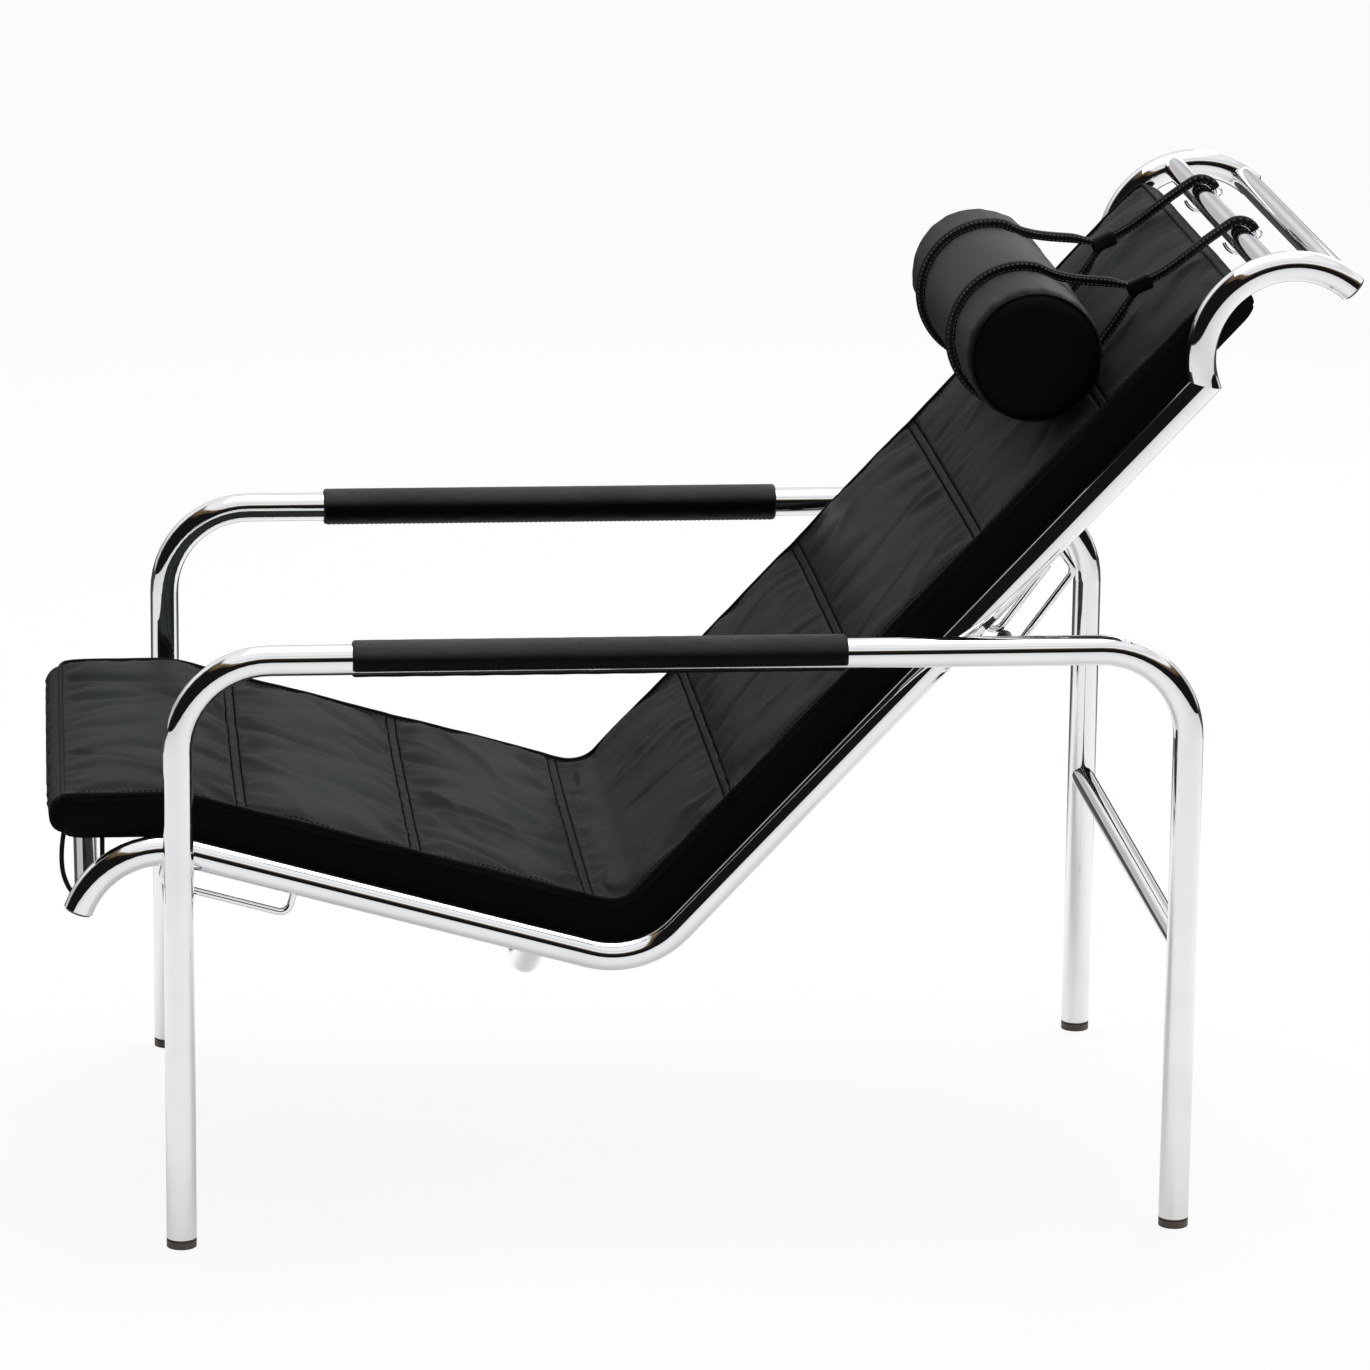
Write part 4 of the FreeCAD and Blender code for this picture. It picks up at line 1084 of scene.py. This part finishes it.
    def _seam_stitches(self) -> Piece:
        """Two rows of stitches at each seam and one along each long edge."""
        half, lines = self.width / 2, self.seam_lines
        share = np.arange(-0.965, 0.966, self.stitch_step / half)
        along, across = np.repeat(lines, len(share)), np.tile(share, len(lines))
        spot, normal = self.on_top(along, across)
        way = unit(self.on_top(along, across + 0.01)[0] - spot)
        run = np.arange(self.stations[0] + 0.012, self.stations[-1] - 0.012, self.stitch_step)
        inset = 1 - self.edge_inset / half
        along, across = np.tile(run, 2), np.repeat([-inset, inset], len(run))
        edge, edge_normal = self.on_top(along, across)
        edge_way = unit(self.on_top(along + 0.002, across)[0] - edge)
        spot, normal = np.concatenate([spot, edge]), np.concatenate([normal, edge_normal])
        piece = stitches("mat_seam_stitches", spot + normal * 0.0001, np.concatenate([way, edge_way]), normal,
                         *self.stitch, self.palette.thread)
        return dress(piece, Body.SEAT, Slot.STRAP)


@dataclass
class Sling(Assembly):
    """Canvas under the mat, with a hem round a rod at each side."""

    width: float = 0.356
    height: float = 0.0064
    thick: float = 0.0024
    hem: float = 0.007
    front: float = 0.061
    past_mitre: float = 0.054
    rows: int = 190
    columns: int = 24

    def build(self) -> list[Piece]:
        """A thin closed sheet, top and bottom, with a round hem at each edge."""
        path = MatPath(self.bones, self.front, self.past_mitre)
        along = np.linspace(0.0, path.length, self.rows)
        place, way = path.at(along)
        half, hem_r = self.width / 2, self.hem / 2
        turn = np.radians(np.linspace(70.0, -250.0, 17))
        drop = self.height + self.thick / 2 - hem_r
        rim = np.stack([half + hem_r * np.cos(turn), drop + hem_r * np.sin(turn)], -1)
        reach = half - hem_r - 0.001
        inner = np.linspace(reach, -reach, self.columns)
        low = np.stack([inner, np.full(self.columns, self.height - self.thick / 2)], -1)
        top = np.stack([inner[::-1], np.full(self.columns, self.height + self.thick / 2)], -1)
        section = np.concatenate([top, rim, low, (rim * [-1, 1])[::-1]])
        grid = carried(place, Y_AXIS, left(way), section)
        uv = np.stack(np.broadcast_arrays(along[:, None], distances(section)[None, :]), -1)
        piece = shell("canvas_sling", [grid], self.palette.canvas, uv=uv)
        dress(piece, Body.SEAT, Slot.CANVAS, "sling")
        return [piece]


@dataclass
class Bolster(Assembly):
    """The round headrest cushion."""

    radius: float = 0.0575
    length: float = 0.400
    edge: float = 0.019
    dome: float = 0.006
    below_mitre: float = 0.081
    over_mat: float = 0.0481
    strap_y: float = 0.096
    sink: float = 0.0027
    dent_breadth: float = 0.0065
    spokes: int = 128
    welt: float = 0.0021
    welt_lean: float = 52.0

    @property
    def centre(self) -> Array:
        """Middle of the cushion."""
        return self.bones.back_point(-self.below_mitre, self.over_mat + self.radius)

    def _profile(self) -> Array:
        """Half outline as (y, r): a domed end, a rounded rim and the side, then its mirror image."""
        rim = self.radius - self.edge
        r = np.linspace(0.0003, rim, 12)
        face = np.stack([self.length / 2 - self.dome * (r / rim) ** 2, r], -1)
        turn = np.linspace(0.0, math.pi / 2, 12)
        base = self.length / 2 - self.dome - self.edge
        corner = np.stack([base + self.edge * np.cos(turn), rim + self.edge * np.sin(turn)], -1)
        side = np.stack([np.linspace(base, 0.0, 60), np.full(60, self.radius)], -1)
        half = resampled(np.concatenate([face, corner[1:], side[1:]]), 0.0032)
        return np.concatenate([half, (half * [-1, 1])[-2::-1]])

    def build(self) -> list[Piece]:
        """Turns the profile, with dents under the straps, gathers at the rims and slow creases."""
        profile = self._profile()
        y, r = profile[:, 0][:, None], profile[:, 1][:, None]
        turn = np.linspace(0.0, 2 * math.pi, self.spokes, endpoint=False)[None, :]
        full = np.clip(r / self.radius, 0.0, 1.0) ** 3
        off = np.abs(np.abs(y) - self.strap_y)
        dent = self.sink * np.exp(-(off / self.dent_breadth) ** 2)
        belly = 0.0012 * (1 - (y / (self.length / 2)) ** 2) - 0.0012
        gather = 0.0005 * np.exp(-((off - 0.012) / 0.010) ** 2) * np.sin(23 * turn + 40 * y) * np.sin(7 * turn + 1.0)
        rims = np.exp(-((np.abs(y) - self.length / 2 + 0.026) / 0.012) ** 2)
        gather = gather + 0.0006 * rims * np.sin(19 * turn + np.sign(y)) * np.sin(5 * turn + 0.7)
        slow = 0.0007 * np.sin(3 * turn + 21 * y) * np.sin(2 * turn - 13 * y + 0.6)
        radius = r + full * (belly - dent + gather + slow - 0.0004)
        slope = self.bones.back_slope
        away = left(slope) * np.cos(turn)[..., None] + heading(slope) * np.sin(turn)[..., None]
        grid = self.centre + y[..., None] * Y_AXIS + radius[..., None] * away
        # Painted shade: the end faces get the dark colour, and the body the lighter colour that stands in for its
        # light.
        light_and_wear = np.broadcast_to(eased(self.length / 2 - np.abs(y), 0.012, 0.030), radius.shape)
        piece = shell("bolster_cushion", [grid], self.palette.bolster, weld=COARSE_WELD, values={"light_and_wear": light_and_wear})
        dress(piece, Body.HEADREST, Slot.HEADREST, "bolster")
        return [piece, self._rim_seams()]

    def _rim_seams(self) -> Piece:
        """A thin sewn welt round each end: a round profile carried along a circle."""
        ray = heading(np.linspace(0.0, 360.0, 120, endpoint=False))
        lean, out = math.radians(self.welt_lean), self.edge - 0.0002
        rim_y = self.length / 2 - self.dome - self.edge + out * math.cos(lean)
        rim_r = self.radius - self.edge + out * math.sin(lean)
        round_welt = oval(self.welt, self.welt, 8)
        rings = [carried(self.centre + side * rim_y * Y_AXIS + ray * rim_r, Y_AXIS, ray, round_welt)
                 for _, side in SIDES]
        piece = shell("bolster_welts", rings, self.palette.piping, closed=True, weld=COARSE_WELD)
        return dress(piece, Body.HEADREST, Slot.HEADREST)


@dataclass
class Straps(Assembly):
    """Two stitched straps round the bolster, gathered in keepers and hung over the inner head bar."""

    cushion: Bolster
    width: float = 0.0096
    thick: float = 0.0082
    thinnest: float = 0.0016
    sag: float = 0.0022
    droop: float = 0.0042
    at_keeper: float = 0.0060
    sink: float = 0.0024
    touch: float = 0.0003
    back_r: float = 0.0006
    keeper_past: float = 0.007
    keeper_h: float = 0.0645
    keeper_l: float = 0.022
    keeper_w: float = 0.013
    keeper_t: float = 0.0140
    keeper_tilt: float = 9.0
    wrap: float = 62.0
    eye_r: float = 0.0036
    eye_wire: float = 0.0019
    stitch: Span = (0.0027, 0.0011)
    stitch_step: float = 0.0036

    @property
    def keeper(self) -> Array:
        """Middle of the keeper's near face."""
        return self.bones.back_point(self.keeper_past, self.keeper_h)

    @property
    def bar_reach(self) -> float:
        """Radius of the strap's middle round the bar."""
        return self.bones.bar_r + self.touch + self.thick / 2

    @property
    def slope(self) -> float:
        """Heading of the strap from the keeper to its tangent over the bar."""
        span = self.bones.inner_bar - self.keeper
        reach = float(np.linalg.norm(span))
        return math.degrees(math.atan2(span[2], span[0]) + math.asin(self.bar_reach / reach))

    @property
    def places(self) -> list[Array]:
        """The two straps' places across."""
        return [side * self.cushion.strap_y * Y_AXIS for _, side in SIDES]

    def _loop_path(self) -> tuple[Array, Array]:
        """The loop's inner line, two tangents and the arc round the bolster between them, and its thickness.

        Where the cushion presses the strap on the mat it is only as thick as the room that is left there.

        Returns:
            Points of the inner line, and the thickness at each.
        """
        centre = self.cushion.centre
        radius = self.cushion.radius - self.sink + self.touch
        span = self.keeper - centre
        toward = math.degrees(math.atan2(span[2], span[0]))
        opened = math.degrees(math.acos((radius - self.back_r) / float(np.linalg.norm(span))))
        high, low = toward + opened, toward - opened
        tip = heading(self.slope) * 0.003
        first, last = (self.keeper + heading(way) * self.back_r + tip for way in (high, low))
        line = resampled(np.concatenate([first[None], arc(centre, radius, high, low + 360.0), last[None]]), 0.003)
        near = np.linalg.norm(line - self.keeper, axis=1)
        free = float(np.linalg.norm(span)) * math.sin(math.radians(opened))
        hung = np.clip(near / free, 0.0, 1.0) * (np.arange(len(line)) < len(line) / 2)
        line = line - heading(high) * (self.droop * DROOP_PEAK * hung ** 2 * (1 - hung))[:, None]
        full = self.at_keeper + (self.thick - self.at_keeper) * eased(near, 0.004, 0.020)
        up = left(self.bones.back_slope)
        out = np.cross(Y_AXIS, tangents(line))
        lean = np.maximum(-(out @ up), 1e-6)
        room = ((line - centre) @ up + self.cushion.radius + self.touch) / lean
        return line, np.clip(np.where(out @ up < 0, room, 1.0), self.thinnest, full)

    def _run_path(self) -> Array:
        """From inside the keeper, over the bar and down behind it."""
        way = self.slope
        start = self.keeper + heading(way) * (self.keeper_l - 0.004)
        over = arc(self.bones.inner_bar, self.bar_reach, way + 90.0, 90.0 - self.wrap, 4.0)
        line = resampled(np.concatenate([start[None], over]), 0.0025)
        share = np.clip(((line - start) @ heading(way)) / float((over[0] - start) @ heading(way)), 0.0, 1.0)
        return line - left(way) * (self.sag * SAG_PEAK * share * (1 - share) ** 3)[:, None]

    def _both(self, name: str, line: Array, out: Array, thick: Array) -> Piece:
        """A rounded profile carried along a line, out from it by the thickness, at both straps as one piece."""
        ring = oval(1.0, 1.0, 16, 2.7)
        across = (ring[None, :, :1] * self.width) * Y_AXIS
        deep = ((ring[None, :, 1:] + 0.5) * thick[:, None, None]) * out[:, None]
        return shell(name, [(line + place)[:, None] + across + deep for place in self.places], self.palette.strap)

    def _thread(self, name: str, line: Array, out: Array, thick: Array) -> Piece:
        """Stitches along both edges of each flank of both straps."""
        reach = distances(line)
        at = np.arange(0.002, reach[-1] - 0.002, self.stitch_step)
        spot, off, deep = (between(at, reach, values) for values in (line, out, thick[:, None]))
        off = unit(off)
        points, ups = [], []
        for place in self.places:
            for _, flank in SIDES:
                for level in (0.24, 0.76):
                    points.append(spot + off * deep * level + place + flank * (self.width / 2 - 0.00035) * Y_AXIS)
                    ups.append(np.broadcast_to(flank * Y_AXIS, spot.shape))
        way = np.tile(tangents(spot), (len(points), 1))
        return stitches(name, np.concatenate(points), way, np.concatenate(ups), *self.stitch, self.palette.strap_thread)

    def _keepers(self) -> Piece:
        """Short leather sleeves, a little waisted: a rounded profile carried along the strap."""
        share = np.array([0.0, 0.02, 0.08, 0.3, 0.5, 0.7, 0.92, 0.98, 1.0])
        girth = np.array([0.72, 0.9, 1.0, 0.97, 0.94, 0.97, 1.0, 0.9, 0.72])
        tilt = self.slope - self.keeper_tilt
        middle = self.keeper + heading(self.slope) * self.keeper_l / 2
        path = middle + heading(tilt) * ((share - 0.5) * self.keeper_l)[:, None]
        ring = oval(self.keeper_w, self.keeper_t, 24, 3.5)
        sleeve = girth[:, None, None] * (ring[None, :, :1] * Y_AXIS + ring[None, :, 1:] * left(tilt))
        piece = shell("strap_keeper_sleeves", [(path + place)[:, None] + sleeve for place in self.places],
                      self.palette.strap, weld=COARSE_WELD)
        modifier = piece.modifiers.new("smooth", "SUBSURF")
        modifier.levels = modifier.render_levels = 1
        return piece

    def _eyes(self) -> Piece:
        """A wire eye at each strap's end: a round profile carried along most of a circle."""
        end = 90.0 - self.wrap
        middle = self.bones.inner_bar + heading(end) * self.bar_reach + heading(end - 90.0) * (self.eye_r + 0.001)
        ray = heading(np.linspace(end + 60.0, end + 400.0, 40))
        wire = oval(self.eye_wire, self.eye_wire, 10)
        grids = [carried(middle + ray * self.eye_r + place, ray, Y_AXIS, wire) for place in self.places]
        return shell("strap_end_eyes", grids, self.palette.chrome)

    def build(self) -> list[Piece]:
        """Makes loops, keepers, eyes and runs with their stitches."""
        loop, deep = self._loop_path()
        out = np.cross(Y_AXIS, tangents(loop))
        bands = dress(self._both("bolster_straps", loop, out, deep), Body.HEADREST, Slot.STRAP, "strap_loops")
        loop_thread = self._thread("bolster_strap_stitches", loop, out, deep)
        dress(loop_thread, Body.HEADREST, Slot.STRAP)
        keepers = dress(self._keepers(), Body.HEADREST, Slot.STRAP, "strap_keepers")
        eyes = dress(self._eyes(), Body.SEAT, Slot.CHROME)
        run = self._run_path()
        out = np.cross(Y_AXIS, tangents(run)) * -1.0
        line, deep = run - out * self.thick / 2, np.full(len(run), self.thick)
        runs = self._both("hanging_straps", line, out, deep)
        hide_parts("strap_runs")
        thread = self._thread("hanging_strap_stitches", line, out, deep)
        tangent = self.bones.inner_bar + left(self.slope) * self.bar_reach
        near = self.keeper + heading(self.slope) * self.keeper_l
        for piece in (runs, thread):
            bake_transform(piece)
        return [bands, loop_thread, keepers, eyes, runs, thread]


@dataclass
class ArmPads(Assembly):
    """Leather wraps round the arms, open along the lower outer side."""

    front: float = 0.142
    length: float = 0.405
    thick: float = 0.0033
    touch: float = 0.00015
    gap_from: float = 29.0
    gap_to: float = 96.0
    stitch: Span = (0.003, 0.0008)
    stitch_step: float = 0.0042
    stitch_inset: float = 0.0032

    @property
    def inner(self) -> float:
        """Radius of the wrap's inside."""
        return self.bones.tube_r + self.touch

    @property
    def outer(self) -> float:
        """Radius of the wrap's outside."""
        return self.bones.tube_r + self.thick

    @property
    def start(self) -> float:
        """Where the wraps begin in X."""
        return self.bones.shift - self.bones.leg_x + self.front

    def _section(self) -> Array:
        """Closed outline as (y, z): the outer arc, a rounded lip, the inner arc and the other lip."""
        lip, middle = (self.outer - self.inner) / 2, (self.outer + self.inner) / 2
        spare = math.degrees(lip / middle)
        first, last = 180.0 + self.gap_to + spare, 180.0 + self.gap_from - spare + 360.0
        sweep = np.radians(np.linspace(first, last, 72))
        bulge = self.outer + 0.0002 * np.sin(np.linspace(0, math.pi, 72))
        out = np.stack([np.cos(sweep), np.sin(sweep)], -1) * bulge[:, None]
        back = np.stack([np.cos(sweep[::-1]), np.sin(sweep[::-1])], -1) * self.inner
        half = np.linspace(0.0, math.pi, 8)[1:-1]

        def rounded(angle: float, sign: float) -> Array:
            """A half circle from the outer to the inner arc."""
            ray = np.array([math.cos(angle), math.sin(angle)])
            side = np.array([-ray[1], ray[0]]) * sign
            return ray * (middle + lip * np.cos(half)[:, None]) + side * lip * np.sin(half)[:, None]

        return np.concatenate([out, rounded(sweep[-1], 1.0), back, rounded(sweep[0], -1.0)[::-1]])

    def build(self) -> list[Piece]:
        """Carries the outline along each arm, rounds its ends, and sews it along the lips."""
        made = []
        section = self._section()
        reach = np.linalg.norm(section, axis=1, keepdims=True)
        ease, rise = np.array([0.0, 0.0006, 0.0016, 0.003]), [0.25, 0.68, 0.92, 1.0]
        x = np.concatenate([ease, np.linspace(0.006, self.length - 0.006, 60), self.length - ease[::-1]])
        share = np.concatenate([rise, np.ones(60), rise[::-1]])
        for label, side in SIDES:
            shaped = section / reach * (self.inner + (reach - self.inner) * share[:, None, None])
            ripple = 0.00012 * np.sin(190 * x + 2.0 * side)[:, None] * np.sin(5 * np.arange(len(section)) / 9.0)
            shaped = shaped * (1 + ripple[..., None] / self.bones.tube_r * (share[:, None, None] == 1.0))
            y = side * (self.bones.side_y - shaped[..., 0])
            along = np.broadcast_to((self.start + x)[:, None], y.shape)
            grid = np.stack([along, y, self.bones.arm_z + shaped[..., 1]], -1)
            # Painted light and shade: the wrap's top gets the lighter colour, its underside the dark one.
            light_and_wear = eased(shaped[..., 1], 0.002, 0.010)
            piece = shell(f"arm_wrap_{label}", [grid], self.palette.arm, weld=FINE_WELD, values={"light_and_wear": light_and_wear})
            dress(piece, Body.BASE, Slot.ARM, f"arm_pad_{label}")
            made += [piece, self._lip_stitches(label, side)]
        return made

    def _lip_stitches(self, label: str, side: float) -> Piece:
        """One row of stitches beside each lip."""
        x = np.arange(self.start + 0.005, self.start + self.length - 0.004, self.stitch_step)
        inset = math.degrees(self.stitch_inset / self.outer)
        axis = x[:, None] * X_AXIS + np.array([0.0, side * self.bones.side_y, self.bones.arm_z])
        turns = np.radians([180.0 + self.gap_to + inset, 180.0 + self.gap_from - inset])
        rays = [np.array([0.0, -side * math.cos(turn), math.sin(turn)]) for turn in turns]
        points = np.concatenate([axis + ray * self.outer for ray in rays])
        up = np.repeat(rays, len(x), axis=0)
        along = np.broadcast_to(X_AXIS, points.shape)
        piece = stitches(f"arm_wrap_{label}_stitches", points, along, up, *self.stitch, self.palette.thread)
        return dress(piece, Body.BASE, Slot.ARM)


@dataclass
class MatTies(Assembly):
    """Two cords that tie the mat's front edge to the front cross tube."""

    y: float = 0.192
    thick: float = 0.004
    mat_bottom: float = 0.008
    clear: float = 0.0035

    def build(self) -> list[Piece]:
        """A smooth line from the mat's underside, round the tube and back up."""
        made = []
        tube = self.bones.front_tube
        top = self.bones.front_bow_centre[2] + self.bones.bend_r + self.mat_bottom - tube[2]
        r = self.bones.bar_r + self.clear
        route = np.array([(-r - 0.004, top), (-r - 0.009, 0.016), (-r, -r), (0.0, -r - 0.001), (r, -r), (r, 0.012),
                          (r, top)])
        for label, side in SIDES:
            curve = bpy.data.curves.new(f"mat_tie_{label}", "CURVE")
            curve.dimensions = "3D"
            spline = curve.splines.new("NURBS")
            spline.points.add(len(route) - 1)
            points = np.stack([tube[0] + route[:, 0], np.full(len(route), side * self.y), tube[2] + route[:, 1],
                               np.ones(len(route))], -1)
            spline.points.foreach_set("co", points.ravel())
            spline.order_u = 3
            spline.use_endpoint_u = True
            spline.resolution_u = 8
            curve.bevel_depth = self.thick / 2
            curve.bevel_resolution = 4
            curve.use_fill_caps = True
            curve.materials.append(self.palette.strap)
            piece = bpy.data.objects.new(f"mat_tie_{label}", curve)
            bpy.context.scene.collection.objects.link(piece)
            dress(piece, Body.SEAT, Slot.STRAP, *([] if made else ["mat_ties"]))
            self._length(piece)
            made.append(piece)
        return made

    def _length(self, piece: Piece) -> float:
        """The line's length, read from the spline with no bevel."""
        bare = piece.copy()
        bare.data = piece.data.copy()
        bare.data.bevel_depth = 0.0
        mesh = bpy.data.meshes.new_from_object(bare)
        spots = np.zeros(len(mesh.vertices) * 3)
        mesh.vertices.foreach_get("co", spots)
        bpy.data.meshes.remove(mesh)
        bpy.data.objects.remove(bare)
        return float(distances(spots.reshape(-1, 3))[-1])


def finish_solids(palette: Palette) -> None:
    """Gives every solid the finish of its record slot."""
    finish = {Slot.CHROME: palette.chrome, Slot.STEEL: palette.steel, Slot.NYLON: palette.nylon,
              Slot.GLIDE: palette.glide, Slot.MAT: palette.mat, Slot.HEADREST: palette.bolster,
              Slot.ARM: palette.arm, Slot.STRAP: palette.strap, Slot.CANVAS: palette.canvas}
    for part in frame["record"]["subparts"]:
        node = frame["nodes"][part["node"]]
        node.data.materials.clear()
        node.data.materials.append(finish[Slot(part["material_slot"])])


@dataclass
class Studio:
    """White floor, a white room with a dark band at eye level for the metal, soft lamps and the camera."""

    eye: Point = (-0.535, -5.494, 1.855)
    aim: Point = (0.0080, 0.0, 0.403)
    roll: float = 0.67
    lens: float = 174.4
    floor_size: float = 30.0
    floor_white: Colour = grey(0.9)
    floor_dark: Colour = grey(0.08)
    floor_end: Span = (0.55, 1.15)
    glow: float = 0.90
    mirrored: float = 0.35
    wall: Colour = (0.96, 0.97, 0.98)
    band: Colour = grey(0.008)
    band_top: Span = (0.48, 0.54)
    band_lift: float = 0.34
    band_rim: Colour = (0.15, 0.095, 0.05)

    def _floor(self) -> None:
        """A pale plane: mostly its own white to the camera, with the object's shadow left in.

        Metal sees some of that white near the object, and a dark studio on the floor well behind it.
        """
        half = self.floor_size / 2
        spots = np.array([(-half, -half, 0.0), (half, -half, 0.0), (half, half, 0.0), (-half, half, 0.0)])
        material, g = new_material("studio_floor")
        camera = g.node("ShaderNodeLightPath", out="Is Camera Ray")
        glossy = camera.beside("Is Glossy Ray")
        far = g.node("ShaderNodeSeparateXYZ", {}, {0: g.place()}, "Y").ramp(*self.floor_end) * glossy
        direct = camera.peak(camera.beside("Is Transmission Ray")) * self.glow
        seen = direct.peak(glossy * (1.0 - far) * self.mirrored)
        lit = g.node("ShaderNodeBsdfDiffuse", {}, {"Color": g.tint(far, self.floor_white, self.floor_dark)})
        white = g.node("ShaderNodeEmission", {}, {"Color": (1.0, 1.0, 1.0, 1.0), "Strength": 1.0})
        g.output(g.node("ShaderNodeMixShader", {}, {0: seen, 1: lit, 2: white}))
        make_piece("studio_floor", spots, [[0, 1, 2, 3]], material)

    def _room(self) -> None:
        """The world: white to the camera; to the rest a white room whose front and sides are dark at eye level."""
        world = bpy.data.worlds.new("studio_room")
        bpy.context.scene.world = world
        world.use_nodes = True
        g = Graph(world.node_tree)
        z = g.node("ShaderNodeSeparateXYZ", {}, {0: g.node("ShaderNodeTexCoord", out="Generated")}, "Z")
        x, y = z.beside("X"), z.beside("Y")
        lifted = z - (0.0 - x).ramp(0.15, 0.55) * self.band_lift
        front = (1.0 - y.ramp(0.25, 0.6)) * (1.0 - lifted.ramp(*self.band_top))
        card = x.ramp(0.20, 0.30) * (1.0 - z.ramp(0.06, 0.12))
        behind = y.ramp(0.3, 0.6) * (1.0 - z.ramp(0.20, 0.31)) * (0.46 - card * 0.3)
        top = z.ramp(0.60, 0.66) * (1.0 - z.ramp(0.74, 0.80)) * 0.2
        low = g.tint(lifted.ramp(0.36, 0.46), self.band, self.band_rim)
        shade = g.mix(front.peak(behind).peak(top), (*self.wall, 1.0), low)
        seen = g.mix(g.node("ShaderNodeLightPath", out="Is Camera Ray"), shade, (1.0, 1.0, 1.0, 1.0))
        back = g.node("ShaderNodeBackground", {}, {"Color": seen, "Strength": 1.0})
        g.output(back, "ShaderNodeOutputWorld")

    def _aimed(self, name: str, data: bpy.types.ID, place: Point, target: Point, roll: float = 0.0) -> Piece:
        """A lamp or camera turned to a point."""
        made = bpy.data.objects.new(name, data)
        made.location = place
        made.rotation_mode = "QUATERNION"
        turn = (Vector(target) - Vector(place)).to_track_quat("-Z", "Y")
        made.rotation_quaternion = turn @ Quaternion((0.0, 0.0, 1.0), math.radians(roll))
        bpy.context.scene.collection.objects.link(made)
        return made

    def _lamp(self, name: str, place: Point, target: Point, size: float, power: float) -> None:
        """A large soft lamp."""
        data = bpy.data.lights.new(name, "AREA")
        data.shape = "SQUARE"
        data.size = size
        data.energy = power
        self._aimed(name, data, place, target)

    def build(self) -> None:
        """Sets floor, room, lamps, camera and view."""
        self._floor()
        self._room()
        self._lamp("top_lamp", (0.1, 0.5, 2.9), (0.0, 0.0, 0.3), size=2.2, power=40.0)
        self._lamp("rear_lamp", (1.6, 2.2, 1.9), (0.2, 0.0, 0.5), size=1.4, power=18.0)
        data = bpy.data.cameras.new("photo_camera")
        data.sensor_width = 36.0
        data.lens = self.lens
        bpy.context.scene.camera = self._aimed("photo_camera", data, self.eye, self.aim, self.roll)
        bpy.context.scene.view_settings.view_transform = "Standard"


def main() -> None:
    """Builds the studio and every sub-assembly in order."""
    logging.basicConfig(level=logging.INFO, format="%(name)s: %(message)s")
    bones = Skeleton()
    palette = Palette(**{key: finish.build() for key, finish in FINISHES.items()})
    Studio().build()
    finish_solids(palette)
    cushion = Bolster(bones, palette)
    for assembly in (MatTies(bones, palette), SewnMat(bones, palette), Sling(bones, palette), cushion,
                     Straps(bones, palette, cushion), ArmPads(bones, palette)):
        log.info("%s: %d pieces", type(assembly).__name__, len(assembly.build()))


if __name__ == "__main__":
    main()
